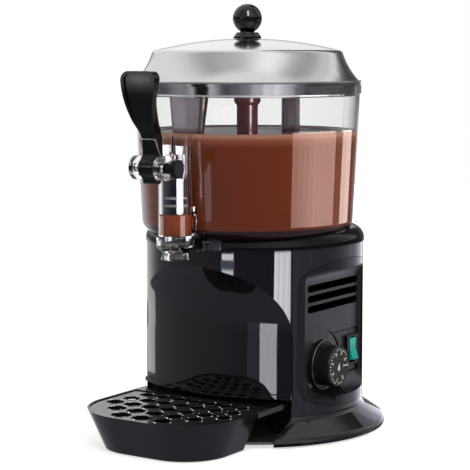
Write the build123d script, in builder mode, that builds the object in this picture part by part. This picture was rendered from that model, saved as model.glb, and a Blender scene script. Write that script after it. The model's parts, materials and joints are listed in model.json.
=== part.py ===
"""A countertop hot chocolate dispenser.

A clear bowl with a lever tap stands on a round housing. A gear motor in the housing turns a stirrer
in the bowl, through a chimney in the bowl's floor, and a water bath under the bowl keeps the drink warm.
Millimetres, +Z up, front towards -Y, controls on the +X side. The origin lies on the table, in the
middle of the footprint.
"""
import os
from math import atan2, cos, degrees, radians, sin, sqrt, tan

from build123d import *

os.makedirs("parts", exist_ok=True)

# Footprint and housing
OVERALL_DEPTH = 338.0  # front of the drip tray to the back of the flared foot
BODY_R = 108.0  # upright round wall
FLARE_W = 22.0  # flared foot beyond the round wall
WALL = 3.0  # moulded walls of the housing
SKIRT_BOTTOM = 2.0  # lower edge of the foot above the table
SKIRT_TOP = 7.0  # where the foot starts to slope inwards
FLARE_TOP = 22.0  # where the slope meets the round wall
FLARE_FILLET = 6.0  # rounding at both ends of the slope
BODY_TOP = 184.0  # top of the round wall

FOOT_R = BODY_R + FLARE_W
BODY_Y = OVERALL_DEPTH / 2 - FOOT_R
TRAY_FRONT = -OVERALL_DEPTH / 2

# Clearances
SEAT_GAP = 0.1  # between a lift-off piece and its seat
RUN_GAP = 0.06  # round a pin or shaft that turns in a bore
FREE_GAP = 0.35  # between pieces that pass each other
FIX_GAP = 0.1  # round a fixed screw, stud or plug in its hole

# Drip tray and grid
TRAY_H = 38.0
TRAY_SIDE_GAP = 4.5  # tray to the cheeks of its bay
TRAY_CORNER = 60.0  # front corners at the top edge
TRAY_DRAFT = 16.0  # how far the walls lean in from top to bottom
TRAY_WALL = 2.5
TRAY_TUCK = 25.0  # how far the tray reaches back behind the middle of the niche wall
TRAY_NECK = 20.0  # the back part is narrower by this on each side
TRAY_FOOT_GAP = 1.0  # underside of the front part above the table
TRAY_STEP = 28.0  # from the niche wall forward to where the tray narrows
TRAY_FLANGE = 5.0  # depth of the rim that bridges the step
RIM_W = 2.0  # rim that stands round the grid
GRID_T = 2.5
GRID_DROP = 1.0  # top of the grid below the rim
GRID_SEAT = 3.0  # ledge under the edge of the grid
GRID_REAR_GAP = 1.5  # back edge of the grid in front of the ledge, so that it lifts out
GRID_FIRST = 18.0  # first row of holes behind the front of the tray
GRID_ROW = 20.8  # from row to row
GRID_PITCH = 23.5  # from hole to hole in the first row
GRID_TAPER = 0.94  # each row is closer and smaller than the one in front of it
GRID_HOLE_R = 9.2
GRID_EDGE = 2.4  # least web between a hole and the edge of the grid

# Cup niche and tray bay in the front of the housing
NICHE_ANGLE = 52.4  # half angle that the niche spans, seen from the housing's axis
NICHE_DEPTH = 17.4  # middle of the niche wall behind the round wall
CANOPY_DROP = 88.0  # from the top of the round wall down to where the niche wall leans forward
CANOPY_R = 152.0  # radius of that lean
BAY_HEADROOM = 4.0  # bay ceiling above the tray
BAY_REAR_GAP = 3.0  # bay behind the tray
BAY_INSET = 1.1  # bay cheeks inside the edges of the niche
LEDGE_OUT = 3.0  # lip at the foot of the niche wall
LEDGE_H = 4.0

NICHE_HALF = BODY_R * sin(radians(NICHE_ANGLE))
NICHE_EDGE_Y = BODY_Y - BODY_R * cos(radians(NICHE_ANGLE))
NICHE_FRONT = BODY_Y - BODY_R + NICHE_DEPTH
NICHE_SAG = NICHE_EDGE_Y - NICHE_FRONT
NICHE_R = (NICHE_HALF**2 + NICHE_SAG**2) / (2 * NICHE_SAG)
NICHE_Y = NICHE_FRONT + NICHE_R
CANOPY_Z = BODY_TOP - CANOPY_DROP
CANOPY_SWEEP = 42.0
BAY_HALF = NICHE_HALF - BAY_INSET
BAY_TOP = TRAY_H + BAY_HEADROOM
TRAY_BACK = NICHE_FRONT + TRAY_TUCK
BAY_BACK = TRAY_BACK + BAY_REAR_GAP
TRAY_HALF = BAY_HALF - TRAY_SIDE_GAP
TRAY_STEP_Y = NICHE_FRONT - TRAY_STEP
TRAY_CORNER_R = min(TRAY_CORNER, TRAY_STEP_Y - TRAY_FRONT - TRAY_WALL)
GRID_BACK = NICHE_FRONT - LEDGE_OUT - GRID_REAR_GAP

# Side panels
PANEL_DEPTH = 20.0  # flat face behind the round wall
PANEL_TOP_DROP = 12.0  # below the top of the round wall
PANEL_FOOT_RISE = 7.0  # above the slope of the foot
PANEL_BULGE = 12.5  # arch of its upper and lower edges
PANEL_CORNER = 20.0
PANEL_T = 4.0
PANEL_GAP = 0.4  # groove round the panel
PANEL_BACK = 6.0  # the panel's rim reaches this far behind its face
SCOOP_R = 16.0  # curve from the flat face out to the round wall
SCOOP_LAND = 10.0  # land between that curve and the panel's edge
FACE_BORDER = 6.5  # border beside the flat face, flush with the round wall
FACE_ROUND = 4.0  # curve from the flat face up to that border
TONGUE_W = 36.0  # tongues that hold the panel behind the housing's wall, above and below
TONGUE_REACH = 3.2
TONGUE_T = 3.4
VENT_COUNT = 3
VENT_LENGTH = 96.0
VENT_BACK = 4.0  # middle of the vents behind the housing's axis
VENT_H = 7.0
VENT_PITCH = 10.0
VENT_DROP = 28.0  # highest vent below the panel's top

PANEL_X = BODY_R - PANEL_DEPTH
PANEL_HALF = sqrt(BODY_R**2 - PANEL_X**2)
FACE_HALF = PANEL_HALF - FACE_BORDER
PANEL_TOP = BODY_TOP - PANEL_TOP_DROP
PANEL_LOW = FLARE_TOP + PANEL_FOOT_RISE

# Thermostat dial and rocker switch
RECESS_DEPTH = 2.0
DIAL_FORWARD = 12.5  # dial's axis in front of the housing's axis
DIAL_RISE = 38.0  # dial's axis above the panel's lower edge
DIAL_RECESS_R = 33.0
DIAL_R = 20.0
DIAL_SKIRT_R = 24.0
DIAL_SKIRT_H = 2.5
DIAL_H = 18.8  # face of the knob above the recess
DIAL_HOLLOW_R = 9.0  # hollow in the knob's back, over the nut
DIAL_HOLLOW = 4.0
DIAL_BORE_DEPTH = 12.0
DIAL_EDGE = 1.2
PLATE_SINK = 0.8  # switch plate behind the panel's face
PLATE_REACH = 66.0  # switch plate beyond the dial's axis
PLATE_LOW = 14.5  # switch plate below the dial's axis
PLATE_HIGH = 29.0  # and above it
SPINDLE_R = 3.0
THERMOSTAT_W = 34.0
THERMOSTAT_D = 22.0
THERMOSTAT_NECK_R = 5.0
THERMOSTAT_NUT_R = 7.5
THERMOSTAT_NUT_T = 1.4
SWITCH_BACK = 52.0  # switch behind the dial's axis
SWITCH_RISE = 7.5  # and above it
SWITCH_LAP = 1.2  # bezel laps the panel's cut-out by this
ROCKER_W = 11.0
ROCKER_HALF = 10.5  # half height of the rocker
ROCKER_DIP = 1.8  # hollow in the middle of its face
ROCKER_PROUD = 6.6  # its ends outside the pivot
ROCKER_BACK = 3.0
ROCKER_TILT = 9.0  # either way from the middle
ROCKER_PIN_R = 1.2
BEZEL_RIM = 5.0  # frame beside the rocker
BEZEL_END = 2.3  # frame above and below it
BEZEL_T = 3.0
SWITCH_D = 20.0

RECESS_X = PANEL_X - RECESS_DEPTH
PLATE_X = PANEL_X - PLATE_SINK
DIAL_Y = BODY_Y - DIAL_FORWARD
DIAL_Z = PANEL_LOW + DIAL_RISE
SWITCH_Y = DIAL_Y + SWITCH_BACK
SWITCH_Z = DIAL_Z + SWITCH_RISE
ROCKER_REACH = sqrt(ROCKER_HALF**2 + ROCKER_PROUD**2)
BEZEL_W = ROCKER_W + 2 * BEZEL_RIM
BEZEL_H = 2 * (ROCKER_REACH + BEZEL_END)

# Collar, bowl and water bath
COLLAR_OVERHANG = 1.0
COLLAR_ROUND = 13.0
COLLAR_LAND = 1.0
COLLAR_SPIGOT = 8.0  # collar ring inside the top of the housing
SEAT_RISE = 8.0  # bowl seat above the round wall
BOWL_FORWARD = 14.0  # the bowl's axis in front of the housing's axis
BOWL_INSET = 4.0  # bowl's outer wall at its bottom corner, inside the housing's round wall
BOWL_TAPER = 6.0  # outer wall under the rim, wider than at the bottom corner
BOWL_T = 2.8
BOWL_CORNER = 14.0
BOWL_H = 144.0
BOWL_RIM_H = 9.0
BOWL_RIM_OUT = 1.4
BOWL_RING_H = 5.0  # ring under the floor that finds the pan's mouth
BOWL_RING_GAP = 3.0
LUG_IN = 14.0  # hook lugs beside the tap, from the middle plane
LUG_OUT = 30.0
LUG_DROP = 8.0
LUG_T = 2.7
LUG_GAP = 1.2
CHIMNEY_DROP = 20.0  # top of the chimney below the rim
CHIMNEY_T = 2.4
SHAFT_R = 4.0
SHAFT_ROOM = 1.6  # free space round the shaft in the chimney
PAN_ROOM = 11.0  # pan wall to the inside of the housing at the front
PAN_T = 1.0
PAN_DEPTH = 26.0
PAN_FLANGE = 7.0
PAN_TUBE_T = 1.2
GASKET_T = 1.2
GASKET_W = 4.0
BUSH_T = 2.3

COLLAR_R = BODY_R + COLLAR_OVERHANG
COLLAR_TOP = BODY_TOP + COLLAR_LAND + COLLAR_ROUND
BOWL_FOOT_R = BODY_R - BOWL_INSET
BOWL_TOP_R = BOWL_FOOT_R + BOWL_TAPER
BOWL_Y = BODY_Y - BOWL_FORWARD
REST_Z = BODY_TOP + SEAT_RISE
RIM_Z = REST_Z + BOWL_H
BOWL_FLOOR = REST_Z + BOWL_T
CHIMNEY_TOP = RIM_Z - CHIMNEY_DROP
CHIMNEY_BORE = SHAFT_R + SHAFT_ROOM
CHIMNEY_R = CHIMNEY_BORE + CHIMNEY_T
PAN_R = BODY_R - WALL - BOWL_FORWARD - PAN_ROOM
PAN_TOP = REST_Z - GASKET_T
PAN_FLOOR = PAN_TOP - PAN_DEPTH
PAN_HOLE = PAN_R + PAN_T + FREE_GAP
BUSH_R = SHAFT_R + RUN_GAP + BUSH_T
PAN_TUBE_BORE = BUSH_R + FIX_GAP

# Stirrer
SLEEVE_GAP = 0.6
SLEEVE_T = 1.8
SLEEVE_RISE = 5.0  # sleeve above the bowl's floor
HUB_R = 13.0
HUB_H = 17.0
HUB_CAP = 3.0
KEY_FLATS = 6.6  # across the flats of the shaft's hexagonal end
KEY_GAP = 0.15
STIR_ANGLE = -27.0  # long arm from the front, towards +X
LONG_ARM = 66.0
SHORT_ARM = 50.0
LONG_PADDLE_W = 38.0  # at its top
LONG_PADDLE_FOOT = 16.0
SHORT_PADDLE_W = 19.0
PADDLE_T = 8.0
PADDLE_PITCH = -52.0  # paddles turned from the arm's line
ARM_W = 10.0
ARM_H = 5.0
ARM_RING = 3.0  # ring of each arm round the hub and the sleeve
ARM_DROP = 4.0  # top arm below the top of the hub

SLEEVE_BORE = CHIMNEY_R + SLEEVE_GAP
SLEEVE_R = SLEEVE_BORE + SLEEVE_T
SLEEVE_LOW = BOWL_FLOOR + SLEEVE_RISE
HUB_LOW = CHIMNEY_TOP + FREE_GAP
HUB_TOP = HUB_LOW + HUB_H
SHAFT_TOP = HUB_TOP - HUB_CAP - FREE_GAP

# Lid
LID_T = 1.0
LID_OVER = 0.6  # lip beyond the bowl's rim is shorter by this
LID_LIP_H = 2.4
LID_FLANK_W = 18.3  # shoulder inside the lip
LID_SHOULDER_H = 33.0
LID_DOME_H = 45.0
LID_FLARE_SAG = 1.6  # hollow of the flank
LID_SHOULDER_FILLET = 5.0
LID_SKIRT_H = 10.0
LID_SKIRT_GAP = 1.4
KNOB_R = 14.2
KNOB_COLLAR_R = 13.6
KNOB_COLLAR_H = 6.0
KNOB_COLLAR_LIP = 1.6
KNOB_COLLAR_TAPER = 3.2  # its top is smaller by this
KNOB_NECK_R = 7.0
KNOB_RISE = 19.5  # ball's centre above the top of the lid
KNOB_SCREW_R = 2.5
KNOB_SCREW_IN = 12.0
KNOB_WASHER_R = 9.0
KNOB_WASHER_T = 1.5
KNOB_HEAD_R = 4.6
KNOB_HEAD_H = 3.2

LID_R = BOWL_TOP_R + BOWL_RIM_OUT - LID_OVER
LID_SHOULDER_R = LID_R - LID_FLANK_W
LID_LOW = RIM_Z + SEAT_GAP
LID_TOP = LID_LOW + LID_DOME_H
LID_SKIRT_R = BOWL_TOP_R - BOWL_T - LID_SKIRT_GAP

# Tap
TAP_STANDOFF = 18.5  # tap axis in front of the bowl's foot
TAP_R = 15.5
TAP_BORE = 12.0
TAP_SEAT_RISE = 7.0  # valve seat above the bowl's underside
TAP_TUBE_H = 92.5
TAP_FLOOR_T = 4.0
TAP_FLOOR_HOLE = 6.5
TAP_SPIGOT_R = 13.2
TAP_SPIGOT_H = 5.0
TAP_BLOCK_HALF = 12.0
TAP_BLOCK_H = 27.0  # block round the inlet
TAP_BOWL_GAP = 0.3
INLET_RISE = 11.0  # inlet above the valve seat
INLET_R = 7.0
INLET_T = 2.2
INLET_PROUD = 1.5  # inlet inside the bowl
INLET_SEAL_T = 1.6
LEVER_ARM = 38.5  # hinge pin in front of the tap axis
HINGE_RISE = 65.0  # hinge pin above the valve seat
EAR_R = 11.0
EAR_GAP = 11.0  # inner face of an ear from the middle plane
EAR_T = 5.0
EAR_BOSS_R = 9.0
EAR_BOSS_H = 1.5
PIN_R = 4.0
PIN_TAIL = 2.0
PIN_NECK_R = 5.0
PIN_NECK = 10.0
PIN_HEAD_R = 8.5
PIN_HEAD = 5.0
NOZZLE_R = 17.5
NOZZLE_CUP_H = 9.0
NOZZLE_LENGTH = 21.0
NOZZLE_LAP = 3.0  # cup round the lower end of the tube
NOZZLE_WAIST_R = 11.4
NOZZLE_LIP_R = 13.3
NOZZLE_BORE = 7.6
NOZZLE_SEAL_R = 0.9
CHAMBER_H = 20.5
PISTON_GAP = 0.3
PISTON_H = 64.0
PISTON_STEM_R = 5.0
PLUG_R = 9.2
PLUG_T = 2.5
VALVE_SEAL_T = 1.6
RING_WIRE = 1.3  # half thickness of a piston ring
RING_RISE = 8.0  # lower ring above the piston's face
RING_PITCH = 7.0
LEVER_HALF = 7.4  # half width of the lever's barrel
LEVER_BARREL_R = 8.6
LEVER_TRAVEL = 20.0
FINGER_R = 3.8
FINGER_T = 5.0
FINGER_HALF = 4.5
WIRE_R = 0.6
WIRE_X = 8.6
WIRE_BEND = 2.0
WIRE_PATH = ((-6.0, -6.0), (6.0, -6.0), (6.0, 6.0), (-3.5, 26.0))  # behind and above the pin
LEVER_NOSE_R = 4.5
LEVER_NOSE_DROP = 10.5
LEVER_NOSE_BACK = 3.0
LEVER_TOP_H = 87.0  # top of the lever above its pin
LEVER_CORNER = 8.0
LEVER_RIM = 3.5  # raised border round the lever's face
LEVER_RECESS = 1.5
# Front and back of the lever, as places behind and above its pin
LEVER_FRONT = (
    (-0.7, 12.0), (-1.3, 21.0), (-3.5, 30.0), (-9.0, 39.0), (-13.5, 48.0),
    (-17.3, LEVER_TOP_H - 25.5), (-18.5, LEVER_TOP_H - 8.0), (-18.0, LEVER_TOP_H),
)
LEVER_BACK = (
    (9.0, 12.0), (8.5, 21.0), (7.0, 30.0), (0.0, 39.0), (-5.5, 48.0),
    (-11.5, LEVER_TOP_H - 26.0), (-11.0, LEVER_TOP_H - 11.0), (-9.0, LEVER_TOP_H),
)
# Half widths of the lever, each with its height above the pin
LEVER_WIDTHS = (
    (7.9, 30.0), (10.6, 39.0), (13.0, 48.0),
    (16.2, LEVER_TOP_H - 25.5), (18.9, LEVER_TOP_H - 8.0), (19.2, LEVER_TOP_H),
)
LEVER_SHANK_TOP = 23.0

TAP_Y = BOWL_Y - BOWL_FOOT_R - TAP_STANDOFF
TAP_SEAT_Z = REST_Z + TAP_SEAT_RISE
TAP_TOP = TAP_SEAT_Z + TAP_TUBE_H
INLET_Z = TAP_SEAT_Z + INLET_RISE
HINGE_Y = TAP_Y - LEVER_ARM
HINGE_Z = TAP_SEAT_Z + HINGE_RISE
PISTON_R = TAP_BORE - PISTON_GAP
PISTON_LOW = TAP_SEAT_Z + CHAMBER_H

# Drive under the bowl
PLATE_DROP = 15.0  # motor plate under the pan
MOTOR_PLATE_T = 2.0
MOTOR_PLATE_R = 72.0
STUD_R = 2.5
STUD_RING_R = 62.0
STUD_COUNT = 4
GEARBOX_W = 72.0
GEARBOX_L = 78.0
GEARBOX_H = 26.0
GEARBOX_BACK = 16.0  # middle of the gearbox behind the shaft
MOTOR_R = 28.0
MOTOR_H = 46.0
HEATER_R = 55.0
HEATER_TUBE = 4.0
HEATER_RISE = 8.0  # heater's middle above the pan's floor
HEATER_GAP_ANGLE = 26.0
HEATER_BEND = 6.0
HEATER_LEG = 12.0  # leg below the pan
HEATER_NUT_R = 8.0
HEATER_NUT_T = 5.0
CUTOUT_R = 8.0
CUTOUT_H = 9.0
CUTOUT_X = -38.0

MOTOR_PLATE_TOP = PAN_FLOOR - PAN_T - PLATE_DROP
GEARBOX_TOP = MOTOR_PLATE_TOP - MOTOR_PLATE_T

# Underside and back
PAD_H = 4.0
PAD_R = 9.0
BASE_T = 2.5
BASE_GAP = 0.5
BOSS_R = 5.0
BOSS_OUT = 3.0  # screw bosses outside the round wall
BOSS_ANGLES = (60.0, 135.0, 225.0, 300.0)  # from the front
SCREW_R = 2.0
SCREW_IN = 8.0
SCREW_HEAD_R = 4.2
SCREW_HEAD_H = 1.8
GLAND_Z = 48.0
GLAND_R = 9.0
GLAND_BORE = 4.0
GLAND_OUT = 7.0
GLAND_IN = 8.0
GLAND_FLANGE_R = 12.0
GLAND_FLANGE_T = 2.5
TERMINAL_W = 40.0
TERMINAL_D = 18.0
TERMINAL_H = 16.0
TERMINAL_WAYS = 4
TERMINAL_BACK = 62.0  # behind the housing's axis

BOSS_RING_R = BODY_R + BOSS_OUT
BASE_LOW = PAD_H
BASE_TOP = PAD_H + BASE_T
TRAY_NECK_LOW = BASE_TOP + SEAT_GAP
TERMINAL_Y = BODY_Y + TERMINAL_BACK

BODY_AXIS = Axis((0, BODY_Y, 0), (0, 0, 1))
BOWL_AXIS = Axis((0, BOWL_Y, 0), (0, 0, 1))
TAP_AXIS = Axis((0, TAP_Y, 0), (0, 0, 1))
DIAL_AXIS = Axis((0, DIAL_Y, DIAL_Z), (1, 0, 0))


def upright(y):
    """The vertical plane through the axis at y, with the radius to the right and height up."""
    return Plane(origin=(0, y, 0), x_dir=(1, 0, 0), z_dir=(0, -1, 0))


def turned(y, *points):
    """A flat profile of radius and height, ready to be turned about the upright axis at y."""
    with BuildSketch(upright(y)) as profile:
        with BuildLine():
            Polyline(*points, close=True)
        make_face()
    return profile.sketch


def ring_profile(y, inner, outer, low, high):
    """The section of a plain ring."""
    return turned(y, (inner, low), (outer, low), (outer, high), (inner, high))


def save(piece, name):
    """Label a finished piece and write it to its own file."""
    piece.part.label = name
    export_step(piece.part, f"parts/{name}.step")


def niche_tool(inset):
    """All that lies in front of the niche wall, which is turned about an upright axis of its own."""
    with BuildSketch(upright(NICHE_Y)) as section:
        with BuildLine():
            foot = Line((0, 0), (NICHE_R - inset, 0))
            rise = Line(foot @ 1, (NICHE_R - inset, CANOPY_Z))
            lean = CenterArc((NICHE_R + CANOPY_R, CANOPY_Z), CANOPY_R + inset, 180, -CANOPY_SWEEP)
            top = Line(lean @ 1, (0, (lean @ 1).Y))
            Line(top @ 1, foot @ 0)
        make_face()
    with BuildPart() as tool:
        with BuildSketch(Plane.XY.offset(BAY_TOP)):
            with Locations((0, TRAY_FRONT)):
                Rectangle(2 * FOOT_R, NICHE_EDGE_Y - TRAY_FRONT + BODY_R, align=(Align.CENTER, Align.MIN))
        extrude(amount=BODY_TOP - BAY_TOP)
        revolve(section.sketch, axis=Axis((0, NICHE_Y, 0), (0, 0, 1)), mode=Mode.SUBTRACT)
    return tool.part


def housing_core(inset, low):
    """The housing's outer form drawn in by inset: a turned body less the cup niche and the tray bay."""
    slope = atan2(FOOT_R - BODY_R, FLARE_TOP - SKIRT_TOP)
    drop = inset * tan(slope / 2)
    foot_corner = (FOOT_R - inset, SKIRT_TOP - drop)
    wall_corner = (BODY_R - inset, FLARE_TOP - drop)
    with BuildSketch(upright(BODY_Y)) as section:
        with BuildLine():
            Polyline(
                (0, low),
                (FOOT_R - inset, low),
                foot_corner,
                wall_corner,
                (BODY_R - inset, BODY_TOP),
                (0, BODY_TOP),
                close=True,
            )
        make_face()
        fillet(section.vertices().sort_by_distance(wall_corner)[0], radius=FLARE_FILLET + inset)
        fillet(section.vertices().sort_by_distance(foot_corner)[0], radius=FLARE_FILLET - inset)
    with BuildPart() as core:
        revolve(section.sketch, axis=BODY_AXIS)
        add(niche_tool(inset), mode=Mode.SUBTRACT)
        with BuildSketch(Plane.XY.offset(low)):
            with Locations((0, BAY_BACK + inset)):
                Rectangle(2 * (BAY_HALF + inset), OVERALL_DEPTH, align=(Align.CENTER, Align.MAX))
        extrude(amount=BAY_TOP + inset - low, mode=Mode.SUBTRACT)
    return core.part


def boss_places():
    """Where the housing takes the base screws, each over a rubber foot."""
    places = []
    for angle in BOSS_ANGLES:
        turn = radians(angle)
        places.append((BOSS_RING_R * sin(turn), BODY_Y - BOSS_RING_R * cos(turn)))
    return places


def panel_outline(grow):
    """The outline of a side panel, seen from the side, larger all round by grow."""
    half = PANEL_HALF + grow
    high = PANEL_TOP + grow
    low = PANEL_LOW - grow
    with BuildSketch(Plane.YZ) as outline:
        with BuildLine():
            front = Line((BODY_Y - half, low + PANEL_BULGE), (BODY_Y - half, high - PANEL_BULGE))
            arch = ThreePointArc(front @ 1, (BODY_Y, high), (BODY_Y + half, high - PANEL_BULGE))
            back = Line(arch @ 1, (BODY_Y + half, low + PANEL_BULGE))
            ThreePointArc(back @ 1, (BODY_Y, low), front @ 0)
        make_face()
        fillet(outline.vertices(), radius=PANEL_CORNER + grow)
    return outline.sketch


def scoop_tool(inset):
    """All that lies outside a panel's face: a flat inside a border that curves out above and below."""
    high = PANEL_TOP - SCOOP_LAND - SCOOP_R
    low = PANEL_LOW + SCOOP_LAND + SCOOP_R
    far = PANEL_X + 2 * SCOOP_R
    with BuildSketch(Plane.XZ.offset(-BODY_Y)) as section:
        with BuildLine():
            Line((PANEL_X - inset, low), (PANEL_X - inset, high))
            brow = CenterArc((PANEL_X + SCOOP_R, high), SCOOP_R + inset, 180, -90)
            sill = CenterArc((PANEL_X + SCOOP_R, low), SCOOP_R + inset, 180, 90)
            Polyline(brow @ 1, (far, (brow @ 1).Y), (far, (sill @ 1).Y), sill @ 1)
        make_face()
    with BuildPart() as tool:
        extrude(section.sketch, amount=FACE_HALF + inset, both=True)
        for end in (0, -1):
            rim = tool.faces().sort_by(Axis.Y)[end].edges()
            fillet(rim.filter_by_position(Axis.X, 0, PANEL_X + SCOOP_R), radius=FACE_ROUND)
    return tool.part


def panel_form():
    """The outer form of a side panel for the +X side, still solid: arched, with a flat sunk face."""
    with BuildPart() as form:
        extrude(panel_outline(-PANEL_GAP), amount=BODY_R)
        with BuildSketch(Plane.XY):
            with Locations((0, BODY_Y)):
                Circle(BODY_R)
        extrude(amount=BODY_TOP, mode=Mode.INTERSECT)
        with Locations((0, BODY_Y, 0)):
            Box(
                2 * (PANEL_X - PANEL_BACK), 2 * BODY_R, BODY_TOP,
                align=(Align.CENTER, Align.CENTER, Align.MIN), mode=Mode.SUBTRACT,
            )
        add(scoop_tool(0), mode=Mode.SUBTRACT)
    return form.part


def panel_shell():
    """A side panel for the +X side: its outer form as a thin vented cover, open behind."""
    with BuildPart() as hollow:
        extrude(panel_outline(-PANEL_GAP - PANEL_T), amount=BODY_R)
        with BuildSketch(Plane.XY):
            with Locations((0, BODY_Y)):
                Circle(BODY_R - PANEL_T)
        extrude(amount=BODY_TOP, mode=Mode.INTERSECT)
        add(scoop_tool(PANEL_T), mode=Mode.SUBTRACT)
    vent_low = PANEL_TOP - VENT_DROP - (VENT_COUNT - 1) * VENT_PITCH / 2
    with BuildPart() as cover:
        add(panel_form())
        add(hollow.part, mode=Mode.SUBTRACT)
        with BuildSketch(Plane.YZ.offset(PANEL_X - PANEL_BACK)):
            with Locations((BODY_Y + VENT_BACK, vent_low)):
                with GridLocations(0, VENT_PITCH, 1, VENT_COUNT):
                    SlotOverall(VENT_LENGTH, VENT_H)
        extrude(amount=PANEL_DEPTH, mode=Mode.SUBTRACT)
        for tongue_low in (PANEL_TOP - SCOOP_LAND, PANEL_LOW - TONGUE_REACH):
            with BuildSketch(Plane.XY.offset(tongue_low)):
                with Locations((0, BODY_Y)):
                    Circle(BODY_R - WALL - FIX_GAP)
                    Circle(BODY_R - WALL - FIX_GAP - TONGUE_T, mode=Mode.SUBTRACT)
                    Rectangle(BODY_R, TONGUE_W, align=(Align.MIN, Align.CENTER), mode=Mode.INTERSECT)
            extrude(amount=SCOOP_LAND + TONGUE_REACH)
    return cover.part


# Housing: one thin-walled moulding
with BuildPart() as cavity:
    add(housing_core(WALL, 0))
    with BuildSketch(Plane.XY):
        with Locations(*boss_places()):
            Circle(BOSS_R)
    extrude(amount=BODY_TOP, mode=Mode.SUBTRACT)
with BuildPart() as base_room:
    with BuildSketch(Plane.XY.offset(BASE_TOP)):
        with Locations(*boss_places()):
            Circle(SCREW_R + FIX_GAP)
    extrude(amount=SCREW_IN)
    with BuildSketch(Plane.XY):
        with Locations((0, BODY_Y)):
            Circle(FOOT_R - WALL)
    extrude(amount=BASE_TOP)
with BuildPart() as housing:
    add(housing_core(0, SKIRT_BOTTOM))
    add(cavity.part, mode=Mode.SUBTRACT)
    add(base_room.part, mode=Mode.SUBTRACT)
    with BuildSketch(Plane.XY.offset(BAY_TOP)) as lip:
        with Locations((0, NICHE_Y)):
            Circle(NICHE_R + LEDGE_OUT)
            Circle(NICHE_R - WALL, mode=Mode.SUBTRACT)
        with Locations((0, TRAY_FRONT)):
            Rectangle(
                2 * BAY_HALF + BAY_INSET, BAY_BACK - TRAY_FRONT,
                align=(Align.CENTER, Align.MIN), mode=Mode.INTERSECT,
            )
    extrude(amount=LEDGE_H)
    extrude(panel_outline(0), amount=BODY_R + 2 * WALL, mode=Mode.SUBTRACT)
    extrude(panel_outline(0), amount=-BODY_R - 2 * WALL, mode=Mode.SUBTRACT)
    with BuildSketch(Plane.XZ.offset(-BODY_Y)):
        with Locations((0, GLAND_Z)):
            Circle(GLAND_R + FIX_GAP)
    extrude(amount=-FOOT_R, mode=Mode.SUBTRACT)
save(housing, "housing")

# Control panel on the right, with a recess for the dial and a plate for the switch
with BuildPart() as dial_cup:
    with BuildSketch(Plane.YZ.offset(PANEL_X - PANEL_T)):
        with Locations((DIAL_Y, DIAL_Z)):
            Circle(DIAL_RECESS_R + WALL)
    extrude(amount=BODY_R)
    add(panel_form(), mode=Mode.INTERSECT)
with BuildPart() as control_panel:
    add(panel_shell())
    add(dial_cup.part)
    with BuildSketch(Plane.YZ.offset(RECESS_X)):
        with Locations((DIAL_Y, DIAL_Z)):
            Circle(DIAL_RECESS_R)
    extrude(amount=PANEL_DEPTH, mode=Mode.SUBTRACT)
    with BuildSketch(Plane.YZ.offset(PLATE_X)):
        with Locations((DIAL_Y, DIAL_Z - PLATE_LOW)):
            Rectangle(PLATE_REACH, PLATE_LOW + PLATE_HIGH, align=(Align.MIN, Align.MIN))
    extrude(amount=PANEL_DEPTH, mode=Mode.SUBTRACT)
    with BuildSketch(Plane.YZ.offset(PANEL_X - PANEL_BACK)):
        with Locations((DIAL_Y, DIAL_Z)):
            Circle(THERMOSTAT_NECK_R + FIX_GAP)
        with Locations((SWITCH_Y, SWITCH_Z)):
            Rectangle(BEZEL_W - 2 * SWITCH_LAP, BEZEL_H - 2 * SWITCH_LAP)
    extrude(amount=PANEL_DEPTH, mode=Mode.SUBTRACT)
save(control_panel, "control_panel")

# Plain vented panel on the left
with BuildPart() as vent_panel:
    add(mirror(panel_shell(), about=Plane.YZ, mode=Mode.PRIVATE))
save(vent_panel, "vent_panel")


def bowl_outside(grow):
    """The bowl's outer form below its rim, larger by grow, as a profile to be turned."""
    corner = BOWL_CORNER + grow
    low = REST_Z - grow
    with BuildSketch(upright(BOWL_Y)) as section:
        with BuildLine():
            base = Line((0, low), (BOWL_FOOT_R - BOWL_CORNER, low))
            bend = CenterArc((BOWL_FOOT_R - BOWL_CORNER, REST_Z + BOWL_CORNER), corner, 270, 90)
            side = Line(bend @ 1, (BOWL_TOP_R + grow, RIM_Z))
            top = Line(side @ 1, (0, RIM_Z))
            Line(top @ 1, base @ 0)
        make_face()
    return section.sketch


# Collar on top of the housing, with a well for the bowl's rounded foot
with BuildPart() as top_collar:
    with BuildSketch(upright(BODY_Y)) as collar_section:
        with BuildLine():
            spigot_low = BODY_TOP - COLLAR_SPIGOT
            spigot_r = BODY_R - WALL - FIX_GAP
            edge = Polyline(
                (0, spigot_low), (spigot_r, spigot_low), (spigot_r, BODY_TOP),
                (COLLAR_R, BODY_TOP), (COLLAR_R, BODY_TOP + COLLAR_LAND),
            )
            round_edge = CenterArc(
                (COLLAR_R - COLLAR_ROUND, BODY_TOP + COLLAR_LAND), COLLAR_ROUND, 0, 90
            )
            crown = Line(round_edge @ 1, (0, COLLAR_TOP))
            Line(crown @ 1, edge @ 0)
        make_face()
    revolve(axis=BODY_AXIS)
    revolve(bowl_outside(FREE_GAP), axis=BOWL_AXIS, mode=Mode.SUBTRACT)
    revolve(
        turned(
            BOWL_Y, (0, 0), (PAN_HOLE, 0), (PAN_HOLE, PAN_TOP - PAN_T),
            (PAN_R + PAN_T + PAN_FLANGE + FREE_GAP, PAN_TOP - PAN_T),
            (PAN_R + PAN_T + PAN_FLANGE + FREE_GAP, REST_Z), (0, REST_Z),
        ),
        axis=BOWL_AXIS, mode=Mode.SUBTRACT,
    )
    with BuildSketch(Plane.XY.offset(spigot_low)):
        with Locations((0, BODY_Y)):
            Circle(spigot_r - WALL)
        with Locations((0, BOWL_Y)):
            Circle(PAN_HOLE + WALL, mode=Mode.SUBTRACT)
    extrude(amount=PAN_TOP - PAN_T - WALL - spigot_low, mode=Mode.SUBTRACT)
save(top_collar, "top_collar")


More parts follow.
